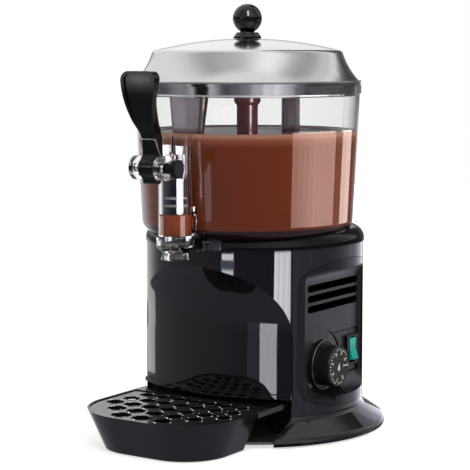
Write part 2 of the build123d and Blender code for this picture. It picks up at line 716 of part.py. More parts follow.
def heater_ends():
    """Where the two heater legs pass through the pan's floor."""
    half_gap = radians(HEATER_GAP_ANGLE / 2)
    places = []
    for side in (-1, 1):
        places.append((side * HEATER_R * sin(half_gap), BOWL_Y + HEATER_R * cos(half_gap)))
    return places


# Water bath pan: a pressed dish with a tube for the shaft and studs for the motor plate
with BuildPart() as water_pan:
    pan_tube_r = PAN_TUBE_BORE + PAN_TUBE_T
    revolve(
        turned(
            BOWL_Y,
            (PAN_TUBE_BORE, PAN_FLOOR - PAN_T), (PAN_R + PAN_T, PAN_FLOOR - PAN_T),
            (PAN_R + PAN_T, PAN_TOP - PAN_T), (PAN_R + PAN_T + PAN_FLANGE, PAN_TOP - PAN_T),
            (PAN_R + PAN_T + PAN_FLANGE, PAN_TOP), (PAN_R, PAN_TOP), (PAN_R, PAN_FLOOR),
            (pan_tube_r, PAN_FLOOR), (pan_tube_r, PAN_TOP), (PAN_TUBE_BORE, PAN_TOP),
        ),
        axis=BOWL_AXIS,
    )
    with BuildSketch(Plane.XY.offset(PAN_FLOOR - PAN_T)):
        with Locations((0, BOWL_Y)):
            with PolarLocations(STUD_RING_R, STUD_COUNT, start_angle=45):
                Circle(STUD_R)
    extrude(amount=-PLATE_DROP - MOTOR_PLATE_T - 4 * STUD_R)
    with BuildSketch(Plane.XY.offset(PAN_FLOOR)):
        with Locations(*heater_ends()):
            Circle(HEATER_TUBE + FIX_GAP)
    extrude(amount=-PAN_T, mode=Mode.SUBTRACT)
save(water_pan, "water_pan")

# Gasket between the pan's flange and the bowl's floor
with BuildPart() as pan_gasket:
    gasket_r = PAN_R + PAN_T + PAN_FLANGE
    revolve(ring_profile(BOWL_Y, gasket_r - GASKET_W, gasket_r, PAN_TOP, REST_Z - SEAT_GAP), axis=BOWL_AXIS)
save(pan_gasket, "pan_gasket")

# Ring heater in the pan, with both ends turned down through the floor
with BuildPart() as heating_element:
    heater_z = PAN_FLOOR + HEATER_RISE
    bend_turn = degrees(HEATER_BEND / HEATER_R)
    leg_turn = HEATER_GAP_ANGLE / 2
    with BuildLine() as heater_path:
        loop = CenterArc(
            (0, BOWL_Y, heater_z), HEATER_R,
            90 + leg_turn + bend_turn, 360 - 2 * (leg_turn + bend_turn),
        )
        legs = []
        for x, y in heater_ends():
            legs.append(Vector(x, y, heater_z - HEATER_BEND))
        leg_drop = Vector(0, 0, HEATER_RISE - HEATER_BEND + PAN_T + HEATER_LEG)
        start_leg = Line(legs[0] - leg_drop, legs[0])
        TangentArc(legs[0], loop @ 0, tangent=(0, 0, 1))
        TangentArc(legs[1], loop @ 1, tangent=(0, 0, 1))
        Line(legs[1], legs[1] - leg_drop)
    with BuildSketch(Plane(start_leg @ 0, z_dir=(0, 0, 1))):
        Circle(HEATER_TUBE)
    sweep(path=heater_path.wire())
save(heating_element, "heating_element")

# Gland nuts that clamp the heater under the pan
with BuildPart() as heater_nuts:
    with BuildSketch(Plane.XY.offset(PAN_FLOOR - PAN_T)):
        with Locations(*heater_ends()):
            RegularPolygon(HEATER_NUT_R, 6)
            Circle(HEATER_TUBE + FIX_GAP, mode=Mode.SUBTRACT)
    extrude(amount=-HEATER_NUT_T)
save(heater_nuts, "heater_nuts")

# Over-heat cut-out pressed against the pan
with BuildPart() as heat_cutout:
    with BuildSketch(Plane.XY.offset(PAN_FLOOR - PAN_T)):
        with Locations((CUTOUT_X, BOWL_Y)):
            Circle(CUTOUT_R)
    extrude(amount=-CUTOUT_H)
    with BuildSketch(Plane.XY.offset(PAN_FLOOR - PAN_T - CUTOUT_H)):
        with Locations((CUTOUT_X, BOWL_Y)):
            with GridLocations(CUTOUT_R, 0, 2, 1):
                Rectangle(CUTOUT_R / 8, CUTOUT_R * 0.75)
    extrude(amount=-CUTOUT_H / 2)
save(heat_cutout, "heat_cutout")

# Motor plate on the pan's studs
with BuildPart() as motor_plate:
    with BuildSketch(Plane.XY.offset(GEARBOX_TOP)):
        with Locations((0, BOWL_Y)):
            Circle(MOTOR_PLATE_R)
            Circle(SHAFT_R + 4 * FREE_GAP, mode=Mode.SUBTRACT)
            with PolarLocations(STUD_RING_R, STUD_COUNT, start_angle=45):
                Circle(STUD_R + FIX_GAP, mode=Mode.SUBTRACT)
            with Locations((0, HEATER_R), (CUTOUT_X, 0)):
                SlotOverall(4 * HEATER_NUT_R, 2.5 * HEATER_NUT_R, mode=Mode.SUBTRACT)
    extrude(amount=MOTOR_PLATE_T)
save(motor_plate, "motor_plate")

# Nuts that hold the motor plate, above and below it
with BuildPart() as plate_nuts:
    for level in (MOTOR_PLATE_TOP, GEARBOX_TOP - 1.6 * STUD_R):
        with BuildSketch(Plane.XY.offset(level)):
            with Locations((0, BOWL_Y)):
                with PolarLocations(STUD_RING_R, STUD_COUNT, start_angle=45):
                    RegularPolygon(2 * STUD_R, 6)
                    Circle(STUD_R + FIX_GAP, mode=Mode.SUBTRACT)
        extrude(amount=1.6 * STUD_R)
save(plate_nuts, "plate_nuts")

# Gearbox: a ribbed casting with a bored boss for the shaft
with BuildPart() as gearbox:
    with BuildSketch(Plane.XY.offset(GEARBOX_TOP)):
        with Locations((0, BOWL_Y + GEARBOX_BACK)):
            RectangleRounded(GEARBOX_W, GEARBOX_L, 4 * WALL)
    extrude(amount=-GEARBOX_H)
    with BuildSketch(Plane.XY.offset(GEARBOX_TOP - GEARBOX_H / 2)):
        with Locations((0, BOWL_Y + GEARBOX_BACK)):
            RectangleRounded(GEARBOX_W + 2 * WALL, GEARBOX_L + 2 * WALL, 5 * WALL)
    extrude(amount=WALL / 2, both=True)
    with BuildSketch(Plane.XY.offset(GEARBOX_TOP - GEARBOX_H)):
        with Locations((0, BOWL_Y)):
            Circle(SHAFT_R + RUN_GAP)
    extrude(amount=GEARBOX_H, mode=Mode.SUBTRACT)
save(gearbox, "gearbox")

# Motor under the gearbox
with BuildPart() as motor:
    motor_y = BOWL_Y + GEARBOX_BACK + GEARBOX_L / 2 - MOTOR_R - WALL
    motor_top = GEARBOX_TOP - GEARBOX_H
    motor_low = motor_top - MOTOR_H
    revolve(
        turned(
            motor_y,
            (0, motor_top), (MOTOR_R, motor_top), (MOTOR_R, motor_low + WALL), (MOTOR_R - WALL, motor_low),
            (MOTOR_R / 3, motor_low), (MOTOR_R / 3, motor_low - WALL), (0, motor_low - WALL),
        ),
        axis=Axis((0, motor_y, 0), (0, 0, 1)),
    )
save(motor, "motor")

# Bronze bush in the pan's tube
with BuildPart() as shaft_bush:
    revolve(
        turned(
            BOWL_Y,
            (SHAFT_R + RUN_GAP, PAN_FLOOR), (BUSH_R, PAN_FLOOR), (BUSH_R, PAN_TOP),
            (SHAFT_R + RUN_GAP, PAN_TOP),
        ),
        axis=BOWL_AXIS,
    )
save(shaft_bush, "shaft_bush")

# Drive shaft from the gearbox up to its hexagonal end in the stirrer's hub
with BuildPart() as drive_shaft:
    shaft_low = GEARBOX_TOP - GEARBOX_H + WALL
    with BuildSketch(Plane.XY.offset(shaft_low)):
        with Locations((0, BOWL_Y)):
            Circle(SHAFT_R)
    extrude(amount=CHIMNEY_TOP - shaft_low)
    with BuildSketch(Plane.XY.offset(CHIMNEY_TOP)):
        with Locations((0, BOWL_Y)):
            RegularPolygon(KEY_FLATS / 2, 6, major_radius=False)
    extrude(amount=SHAFT_TOP - CHIMNEY_TOP)
    chamfer(drive_shaft.faces().sort_by(Axis.Z)[-1].edges(), length=KEY_FLATS / 12)
save(drive_shaft, "drive_shaft")

# Clear bowl with its chimney
with BuildPart() as bowl:
    rim_low = RIM_Z - BOWL_RIM_H
    flat_r = BOWL_FOOT_R - BOWL_CORNER
    with BuildSketch(upright(BOWL_Y)) as bowl_section:
        with BuildLine():
            underside = Line((CHIMNEY_BORE, REST_Z), (flat_r, REST_Z))
            outer_bend = CenterArc((flat_r, REST_Z + BOWL_CORNER), BOWL_CORNER, 270, 90)
            Polyline(
                outer_bend @ 1, (BOWL_TOP_R, rim_low), (BOWL_TOP_R + BOWL_RIM_OUT, rim_low + BOWL_RIM_OUT),
                (BOWL_TOP_R + BOWL_RIM_OUT, RIM_Z), (BOWL_TOP_R - BOWL_T, RIM_Z),
                (BOWL_TOP_R - BOWL_T, rim_low), (BOWL_FOOT_R - BOWL_T, REST_Z + BOWL_CORNER),
            )
            inner_bend = CenterArc((flat_r, REST_Z + BOWL_CORNER), BOWL_CORNER - BOWL_T, 0, -90)
            Polyline(
                inner_bend @ 1, (CHIMNEY_R, BOWL_FLOOR), (CHIMNEY_R, CHIMNEY_TOP),
                (CHIMNEY_BORE, CHIMNEY_TOP), underside @ 0,
            )
        make_face()
    revolve(axis=BOWL_AXIS)
    ring_r = PAN_R - BOWL_RING_GAP
    revolve(ring_profile(BOWL_Y, ring_r - BOWL_T, ring_r, REST_Z - BOWL_RING_H, REST_Z), axis=BOWL_AXIS)
    lug_r = COLLAR_R - BOWL_FORWARD + LUG_GAP
    with BuildSketch(Plane.XY.offset(REST_Z - LUG_DROP)):
        with Locations((0, BOWL_Y)):
            Circle(lug_r + LUG_T)
            Circle(lug_r, mode=Mode.SUBTRACT)
        with Locations(((LUG_IN + LUG_OUT) / 2, BOWL_Y - lug_r), (-(LUG_IN + LUG_OUT) / 2, BOWL_Y - lug_r)):
            Rectangle(LUG_OUT - LUG_IN, lug_r, mode=Mode.INTERSECT)
    extrude(amount=LUG_DROP + BOWL_T + LUG_T)
    with BuildSketch(Plane.XZ.offset(BOWL_FOOT_R / 2 - BOWL_Y)):
        with Locations((0, INLET_Z)):
            Circle(INLET_R + INLET_T + FIX_GAP)
    extrude(amount=BOWL_FOOT_R, mode=Mode.SUBTRACT)
save(bowl, "bowl")

# Stirrer: a sleeve over the chimney, hung by its hub from the shaft's end
with BuildPart() as stirrer_sleeve:
    revolve(
        turned(
            BOWL_Y,
            (SLEEVE_BORE, SLEEVE_LOW), (SLEEVE_R, SLEEVE_LOW), (SLEEVE_R, HUB_LOW), (HUB_R, HUB_LOW + WALL),
            (HUB_R, HUB_TOP), (0, HUB_TOP), (0, HUB_LOW), (SLEEVE_BORE, HUB_LOW),
        ),
        axis=BOWL_AXIS,
    )
    with BuildSketch(Plane.XY.offset(HUB_LOW)):
        with Locations((0, BOWL_Y)):
            RegularPolygon(KEY_FLATS / 2 + KEY_GAP, 6, major_radius=False)
    extrude(amount=HUB_H - HUB_CAP, mode=Mode.SUBTRACT)
    fillet(stirrer_sleeve.edges().sort_by(Axis.Z)[-1], radius=HUB_CAP / 2)
save(stirrer_sleeve, "stirrer_sleeve")

# Stirrer frame: cross arms at the hub and near the floor, with a wide and a narrow paddle
with BuildPart() as stirrer_frame:
    arm_low = HUB_TOP - ARM_DROP - ARM_H
    arm_turn = STIR_ANGLE - 90
    for level in (arm_low, SLEEVE_LOW):
        with BuildSketch(Plane(origin=(0, BOWL_Y, level)).rotated((0, 0, arm_turn))):
            Circle(HUB_R + ARM_RING)
            with Locations(((LONG_ARM - SHORT_ARM) / 2, 0)):
                SlotOverall(LONG_ARM + SHORT_ARM + ARM_W, ARM_W)
        extrude(amount=ARM_H)
    paddles = ((LONG_ARM, LONG_PADDLE_FOOT, LONG_PADDLE_W), (-SHORT_ARM, SHORT_PADDLE_W, SHORT_PADDLE_W))
    for reach, foot_width, top_width in paddles:
        for level, width in ((SLEEVE_LOW, foot_width), (arm_low + ARM_H, top_width)):
            with BuildSketch(Plane(origin=(0, BOWL_Y, level)).rotated((0, 0, arm_turn))):
                with Locations(Location((reach, 0), PADDLE_PITCH)):
                    SlotOverall(width, PADDLE_T)
        loft()
    with BuildSketch(Plane.XY.offset(SLEEVE_LOW)):
        with Locations((0, BOWL_Y)):
            Circle(SLEEVE_R + FIX_GAP)
    extrude(amount=ARM_H, mode=Mode.SUBTRACT)
    with BuildSketch(Plane.XY.offset(arm_low)):
        with Locations((0, BOWL_Y)):
            Circle(HUB_R + FIX_GAP)
    extrude(amount=ARM_H, mode=Mode.SUBTRACT)
save(stirrer_frame, "stirrer_frame")

# Lid: spun steel with a hollow flank, a low dome and a skirt that finds the bowl's mouth
with BuildPart() as lid_shell:
    shoulder_z = LID_LOW + LID_SHOULDER_H
    lip_z = LID_LOW + LID_LIP_H
    flank_x = (LID_R + LID_SHOULDER_R) / 2 - LID_FLARE_SAG
    flank_z = (lip_z + shoulder_z) / 2 - LID_FLARE_SAG
    dome_rise = LID_TOP - shoulder_z
    dome_r = (LID_SHOULDER_R**2 + dome_rise**2) / (2 * dome_rise)
    half_r = LID_SHOULDER_R / 2
    half_z = LID_TOP - dome_r + sqrt(dome_r**2 - half_r**2)
    with BuildSketch(upright(BOWL_Y)) as lid_section:
        with BuildLine():
            lip = Polyline((LID_SKIRT_R, LID_LOW), (LID_R, LID_LOW), (LID_R, lip_z))
            flank = ThreePointArc(lip @ 1, (flank_x, flank_z), (LID_SHOULDER_R, shoulder_z))
            dome = ThreePointArc(flank @ 1, (half_r, half_z), (0, LID_TOP))
            crown = Line(dome @ 1, (0, LID_TOP - LID_T))
            inner_dome = ThreePointArc(
                crown @ 1, (half_r, half_z - LID_T), (LID_SHOULDER_R - LID_T, shoulder_z - LID_T)
            )
            inner_flank = ThreePointArc(
                inner_dome @ 1, (flank_x - LID_T, flank_z - LID_T / 2), (LID_R - LID_T, lip_z)
            )
            Polyline(
                inner_flank @ 1, (LID_R - LID_T, LID_LOW + LID_T), (LID_SKIRT_R - LID_T, LID_LOW + LID_T),
                (LID_SKIRT_R - LID_T, RIM_Z - LID_SKIRT_H), (LID_SKIRT_R, RIM_Z - LID_SKIRT_H), lip @ 0,
            )
        make_face()
        fillet(
            lid_section.vertices().sort_by_distance((LID_SHOULDER_R, shoulder_z))[0],
            radius=LID_SHOULDER_FILLET,
        )
        fillet(
            lid_section.vertices().sort_by_distance((LID_SHOULDER_R - LID_T, shoulder_z - LID_T))[0],
            radius=LID_SHOULDER_FILLET - LID_T,
        )
    revolve(axis=BOWL_AXIS)
    with BuildSketch(Plane.XY.offset(shoulder_z)):
        with Locations((0, BOWL_Y)):
            Circle(KNOB_SCREW_R + FIX_GAP)
    extrude(amount=LID_DOME_H, mode=Mode.SUBTRACT)
save(lid_shell, "lid_shell")

# Ball knob with its neck, bored from below
with BuildPart() as lid_knob:
    ball_z = LID_TOP + KNOB_RISE
    with BuildSketch(upright(BOWL_Y)):
        with BuildLine():
            ball_low = ball_z - sqrt(KNOB_R**2 - KNOB_NECK_R**2)
            neck = Polyline((0, LID_TOP), (KNOB_NECK_R, LID_TOP), (KNOB_NECK_R, ball_low))
            ball = ThreePointArc(neck @ 1, (KNOB_R, ball_z), (0, ball_z + KNOB_R))
            Line(ball @ 1, neck @ 0)
        make_face()
    revolve(axis=BOWL_AXIS)
    with BuildSketch(Plane.XY.offset(LID_TOP)):
        with Locations((0, BOWL_Y)):
            Circle(KNOB_SCREW_R + FIX_GAP)
    extrude(amount=KNOB_SCREW_IN, mode=Mode.SUBTRACT)
save(lid_knob, "lid_knob")

# Collar under the ball
with BuildPart() as knob_collar:
    revolve(
        turned(
            BOWL_Y,
            (KNOB_NECK_R + FIX_GAP, LID_TOP), (KNOB_COLLAR_R, LID_TOP),
            (KNOB_COLLAR_R, LID_TOP + KNOB_COLLAR_LIP),
            (KNOB_COLLAR_R - KNOB_COLLAR_TAPER, LID_TOP + KNOB_COLLAR_H),
            (KNOB_NECK_R + FIX_GAP, LID_TOP + KNOB_COLLAR_H),
        ),
        axis=BOWL_AXIS,
    )
save(knob_collar, "knob_collar")

# Washer and screw that hold the knob from inside the lid
with BuildPart() as knob_washer:
    washer_top = LID_TOP - LID_T - 2 * FIX_GAP
    revolve(
        ring_profile(BOWL_Y, KNOB_SCREW_R + FIX_GAP, KNOB_WASHER_R, washer_top - KNOB_WASHER_T, washer_top),
        axis=BOWL_AXIS,
    )
save(knob_washer, "knob_washer")
with BuildPart() as knob_screw:
    head_top = washer_top - KNOB_WASHER_T
    revolve(
        turned(
            BOWL_Y,
            (0, head_top - KNOB_HEAD_H), (KNOB_HEAD_R, head_top - KNOB_HEAD_H), (KNOB_HEAD_R, head_top),
            (KNOB_SCREW_R, head_top), (KNOB_SCREW_R, LID_TOP + KNOB_SCREW_IN - FREE_GAP),
            (0, LID_TOP + KNOB_SCREW_IN - FREE_GAP),
        ),
        axis=BOWL_AXIS,
    )
save(knob_screw, "knob_screw")

# Tap body: a clear tube joined to the bowl by a block, with two ears for the lever in front
with BuildPart() as tap_body:
    tube_low = TAP_SEAT_Z - TAP_FLOOR_T
    inlet_back = BOWL_Y - BOWL_FOOT_R + BOWL_T + INLET_PROUD
    with BuildSketch(Plane.XY.offset(tube_low + NOZZLE_LAP + FREE_GAP)):
        with Locations((0, TAP_Y)):
            Rectangle(2 * TAP_BLOCK_HALF, BOWL_Y - TAP_Y, align=(Align.CENTER, Align.MIN))
    extrude(amount=TAP_BLOCK_H)
    revolve(ring_profile(TAP_Y, 0, TAP_R, tube_low, TAP_TOP), axis=TAP_AXIS)
    revolve(bowl_outside(TAP_BOWL_GAP), axis=BOWL_AXIS, mode=Mode.SUBTRACT)
    with BuildSketch(Plane.XZ.offset(-inlet_back)):
        with Locations((0, INLET_Z)):
            Circle(INLET_R + INLET_T)
    extrude(amount=inlet_back - TAP_Y)
    for side in (-1, 1):
        with BuildSketch(Plane.YZ.offset(side * EAR_GAP)):
            with Locations((HINGE_Y, HINGE_Z)):
                Circle(EAR_R)
                Rectangle(LEVER_ARM - TAP_BORE / 2, 2 * EAR_R, align=(Align.MIN, Align.CENTER))
        extrude(amount=side * EAR_T)
        with BuildSketch(Plane.YZ.offset(side * (EAR_GAP + EAR_T))):
            with Locations((HINGE_Y, HINGE_Z)):
                Circle(EAR_BOSS_R)
        extrude(amount=side * EAR_BOSS_H)
    revolve(ring_profile(TAP_Y, 0, TAP_SPIGOT_R, tube_low - TAP_SPIGOT_H, tube_low), axis=TAP_AXIS)
    seal_z = tube_low - TAP_SPIGOT_H / 2
    groove_r = TAP_SPIGOT_R - 2 * NOZZLE_SEAL_R
    groove_half = NOZZLE_SEAL_R + FIX_GAP
    revolve(
        ring_profile(TAP_Y, groove_r, TAP_R, seal_z - groove_half, seal_z + groove_half),
        axis=TAP_AXIS, mode=Mode.SUBTRACT,
    )
    revolve(ring_profile(TAP_Y, 0, TAP_BORE, TAP_SEAT_Z, TAP_TOP), axis=TAP_AXIS, mode=Mode.SUBTRACT)
    revolve(
        ring_profile(TAP_Y, 0, TAP_FLOOR_HOLE, tube_low - TAP_SPIGOT_H, TAP_SEAT_Z),
        axis=TAP_AXIS, mode=Mode.SUBTRACT,
    )
    with BuildSketch(Plane.XZ.offset(-inlet_back)):
        with Locations((0, INLET_Z)):
            Circle(INLET_R)
    extrude(amount=inlet_back - TAP_Y, mode=Mode.SUBTRACT)
    seal_front = BOWL_Y - BOWL_FOOT_R - INLET_SEAL_T
    with BuildSketch(Plane.XZ.offset(-seal_front)):
        with Locations((0, INLET_Z)):
            Circle(INLET_R + INLET_T + INLET_SEAL_T + FIX_GAP)
            Circle(INLET_R + INLET_T, mode=Mode.SUBTRACT)
    extrude(amount=-2 * INLET_SEAL_T, mode=Mode.SUBTRACT)
    slot_low = HINGE_Z - FINGER_T - INLET_SEAL_T
    with BuildSketch(Plane.XZ.offset(-TAP_Y)):
        with Locations((0, slot_low)):
            Rectangle(2 * (FINGER_HALF + INLET_PROUD), TAP_TUBE_H, align=(Align.CENTER, Align.MIN))
    extrude(amount=TAP_R + FREE_GAP, mode=Mode.SUBTRACT)
    with BuildSketch(Plane.YZ):
        with Locations((HINGE_Y, HINGE_Z)):
            Circle(PIN_R + FIX_GAP)
    extrude(amount=TAP_R + EAR_T, both=True, mode=Mode.SUBTRACT)
save(tap_body, "tap_body")

# Seal between the tap's block and the bowl
with BuildPart() as inlet_seal:
    with BuildSketch(Plane.XZ.offset(-seal_front)):
        with Locations((0, INLET_Z)):
            Circle(INLET_R + INLET_T + INLET_SEAL_T)
            Circle(INLET_R + INLET_T + FIX_GAP, mode=Mode.SUBTRACT)
    extrude(amount=-2 * INLET_SEAL_T)
    revolve(bowl_outside(FIX_GAP), axis=BOWL_AXIS, mode=Mode.SUBTRACT)
save(inlet_seal, "inlet_seal")

# Nozzle: a cup round the end of the tube, a waist and a flared lip
with BuildPart() as tap_nozzle:
    cup_top = tube_low + NOZZLE_LAP
    cup_low = cup_top - NOZZLE_CUP_H
    nozzle_low = cup_top - NOZZLE_LENGTH
    waist_z = (cup_low + nozzle_low) / 2
    spigot_end = tube_low - TAP_SPIGOT_H
    revolve(
        turned(
            TAP_Y,
            (TAP_R + FIX_GAP, cup_top), (NOZZLE_R, cup_top), (NOZZLE_R, cup_low), (NOZZLE_WAIST_R, waist_z),
            (NOZZLE_LIP_R, nozzle_low + EAR_BOSS_H), (NOZZLE_LIP_R, nozzle_low), (NOZZLE_BORE, nozzle_low),
            (NOZZLE_BORE, spigot_end), (TAP_SPIGOT_R + FIX_GAP, spigot_end),
            (TAP_SPIGOT_R + FIX_GAP, tube_low), (TAP_R + FIX_GAP, tube_low),
        ),
        axis=TAP_AXIS,
    )
save(tap_nozzle, "tap_nozzle")

# Seal round the spigot in the nozzle's cup
with BuildPart() as nozzle_seal:
    with BuildSketch(upright(TAP_Y)):
        with Locations((TAP_SPIGOT_R - NOZZLE_SEAL_R, seal_z)):
            Circle(NOZZLE_SEAL_R)
    revolve(axis=TAP_AXIS)
save(nozzle_seal, "nozzle_seal")

# Hinge pin with a button head
with BuildPart() as tap_pin:
    ear_face = EAR_GAP + EAR_T + EAR_BOSS_H
    for start, length, radius in (
        (-ear_face - PIN_TAIL, 2 * ear_face + PIN_TAIL, PIN_R),
        (ear_face, PIN_NECK, PIN_NECK_R),
        (ear_face + PIN_NECK, PIN_HEAD, PIN_HEAD_R),
    ):
        with BuildSketch(Plane.YZ.offset(start)):
            with Locations((HINGE_Y, HINGE_Z)):
                Circle(radius)
        extrude(amount=length)
    fillet(tap_pin.faces().sort_by(Axis.X)[-1].edges(), radius=PIN_HEAD / 4)
save(tap_pin, "tap_pin")


def from_pin(*places):
    """Places behind and above the hinge pin, as points on the upright middle plane."""
    points = []
    for behind, above in places:
        points.append((HINGE_Y + behind, HINGE_Z + above))
    return points


def lever_outline(inset, low):
    """The lever's outline seen from the front, drawn in by inset, from a height above the pin upwards."""
    with BuildSketch(Plane.XZ) as outline:
        with BuildLine():
            half = LEVER_HALF - inset
            right = [(half, HINGE_Z + LEVER_SHANK_TOP)]
            for width, height in LEVER_WIDTHS:
                right.append((width - inset, HINGE_Z + height))
            right[-1] = (right[-1][0], right[-1][1] - inset)
            left = []
            for x, z in right:
                left.append((-x, z))
            foot = Line((-half, HINGE_Z + low), (half, HINGE_Z + low))
            Line(foot @ 1, right[0])
            flare = Spline(*right, tangents=((0, 1), (0.05, 1)))
            Line(flare @ 1, left[-1])
            Spline(*left, tangents=((0, 1), (-0.05, 1)))
            Line(left[0], foot @ 0)
        make_face()
        fillet(outline.vertices().group_by(Axis.Y)[-1], radius=LEVER_CORNER - inset)
    return outline.sketch


# Lever: a bent grip with a raised border, a barrel on the pin and a finger that reaches the piston
with BuildPart() as lever_grip:
    with BuildSketch(Plane.YZ):
        with BuildLine():
            front = Spline(*from_pin(*LEVER_FRONT))
            back = Spline(*from_pin(*LEVER_BACK))
            Line(front @ 1, back @ 1)
            root = from_pin((-LEVER_BARREL_R * 0.7, LEVER_BARREL_R * 0.6), (0, 0), (LEVER_BARREL_R, 0))
            Polyline(front @ 0, *root, back @ 0)
        make_face()
        with Locations((HINGE_Y, HINGE_Z)):
            Circle(LEVER_BARREL_R)
        with Locations((HINGE_Y + LEVER_NOSE_BACK, HINGE_Z - LEVER_NOSE_DROP)):
            Circle(LEVER_NOSE_R)
        with BuildLine():
            Polyline(
                *from_pin(
                    (-LEVER_BARREL_R * 0.7, -LEVER_BARREL_R * 0.6),
                    (LEVER_NOSE_BACK - LEVER_NOSE_R, -LEVER_NOSE_DROP),
                    (LEVER_NOSE_BACK + LEVER_NOSE_R, -LEVER_NOSE_DROP),
                    (LEVER_BARREL_R * 0.95, -LEVER_BARREL_R * 0.3),
                ),
                close=True,
            )
        make_face()
    extrude(amount=2 * LEVER_HALF + LEVER_CORNER, both=True)
    extrude(
        lever_outline(0, -LEVER_NOSE_DROP - 2 * LEVER_NOSE_R), amount=OVERALL_DEPTH, both=True,
        mode=Mode.INTERSECT,
    )
with BuildPart() as lever_dish:
    with BuildSketch(Plane.YZ):
        with BuildLine():
            face_points = LEVER_FRONT[3:]
            sunk = []
            for number, (behind, above) in enumerate(face_points):
                sunk.append((behind + LEVER_RECESS * min(1, number / 2), above))
            floor = Spline(*from_pin(*sunk))
            ahead = HINGE_Y - LEVER_TOP_H
            Polyline(floor @ 1, (ahead, (floor @ 1).Y), (ahead, (floor @ 0).Y), floor @ 0)
        make_face()
    extrude(amount=2 * LEVER_HALF + LEVER_CORNER, both=True)
    extrude(lever_outline(LEVER_RIM, 0), amount=OVERALL_DEPTH, both=True, mode=Mode.INTERSECT)
with BuildPart() as tap_lever:
    add(lever_grip.part)
    add(lever_dish.part, mode=Mode.SUBTRACT)
    with BuildSketch(Plane.YZ):
        with Locations((TAP_Y, HINGE_Z)):
            Circle(FINGER_R)
        with Locations((HINGE_Y, HINGE_Z)):
            Rectangle(LEVER_ARM, FINGER_T, align=(Align.MIN, Align.CENTER))
    extrude(amount=FINGER_HALF, both=True)
    with BuildSketch(Plane.YZ):
        with Locations((HINGE_Y, HINGE_Z)):
            Circle(PIN_R + RUN_GAP)
    extrude(amount=2 * LEVER_HALF, both=True, mode=Mode.SUBTRACT)
save(tap_lever, "tap_lever")

# Wire bail that holds the lever down, bent across its front
with BuildPart() as lever_spring:
    bail = []
    for behind, above in from_pin(*WIRE_PATH):
        bail.append((WIRE_X, behind, above))
    for behind, above in from_pin(*reversed(WIRE_PATH)):
        bail.append((-WIRE_X, behind, above))
    with BuildLine() as bail_path:
        FilletPolyline(*bail, radius=WIRE_BEND)
    with BuildSketch(Plane(bail[0], z_dir=(0, 1, 0))):
        Circle(WIRE_R)
    sweep(path=bail_path.wire())
save(lever_spring, "lever_spring")

# Piston with a slot for the lever's finger, a stem and a valve plug
with BuildPart() as tap_piston:
    plug_low = TAP_SEAT_Z + VALVE_SEAL_T
    piston_top = PISTON_LOW + PISTON_H
    revolve(
        turned(
            TAP_Y,
            (0, plug_low), (PLUG_R, plug_low), (PLUG_R, plug_low + PLUG_T),
            (PISTON_STEM_R, plug_low + 2 * PLUG_T),
            (PISTON_STEM_R, PISTON_LOW), (PISTON_R, PISTON_LOW), (PISTON_R, piston_top), (0, piston_top),
        ),
        axis=TAP_AXIS,
    )
    ring_depth = 2 * RING_WIRE - PISTON_GAP + RUN_GAP + FIX_GAP
    ring_half = RING_WIRE + FIX_GAP
    for rise in (RING_RISE, RING_RISE + RING_PITCH):
        ring_z = PISTON_LOW + rise
        revolve(
            ring_profile(TAP_Y, PISTON_R - ring_depth, TAP_BORE, ring_z - ring_half, ring_z + ring_half),
            axis=TAP_AXIS, mode=Mode.SUBTRACT,
        )
    pocket = FINGER_R + PISTON_GAP
    flare_drop = (PISTON_R + PISTON_GAP) * tan(radians(LEVER_TRAVEL)) + FINGER_T / 2 + 2 * PISTON_GAP
    with BuildSketch(Plane.YZ):
        with Locations((TAP_Y, HINGE_Z)):
            Circle(pocket)
        with BuildLine():
            Polyline(
                (TAP_Y, HINGE_Z + pocket), (TAP_Y, HINGE_Z - pocket),
                (TAP_Y - TAP_BORE, HINGE_Z - flare_drop), (TAP_Y - TAP_BORE, HINGE_Z + pocket), close=True,
            )
        make_face()
    extrude(amount=FINGER_HALF + FREE_GAP, both=True, mode=Mode.SUBTRACT)
save(tap_piston, "tap_piston")

# Piston rings
with BuildPart() as piston_rings:
    with BuildSketch(upright(TAP_Y)):
        with Locations((TAP_BORE - RUN_GAP - RING_WIRE, PISTON_LOW + RING_RISE)):
            Circle(RING_WIRE)
        with Locations((TAP_BORE - RUN_GAP - RING_WIRE, PISTON_LOW + RING_RISE + RING_PITCH)):
            Circle(RING_WIRE)
    revolve(axis=TAP_AXIS)
save(piston_rings, "piston_rings")

# Valve seal under the plug
with BuildPart() as valve_seal:
    revolve(ring_profile(TAP_Y, 0, PLUG_R, TAP_SEAT_Z + SEAT_GAP / 2, plug_low), axis=TAP_AXIS)
save(valve_seal, "valve_seal")


def along_x(y, z, *points):
    """A profile of distance along X and radius, ready to be turned about the axis at y and z."""
    with BuildSketch(Plane(origin=(0, y, z), x_dir=(1, 0, 0), z_dir=(0, -1, 0))) as profile:
        with BuildLine():
            Polyline(*points, close=True)
        make_face()
    return profile.sketch


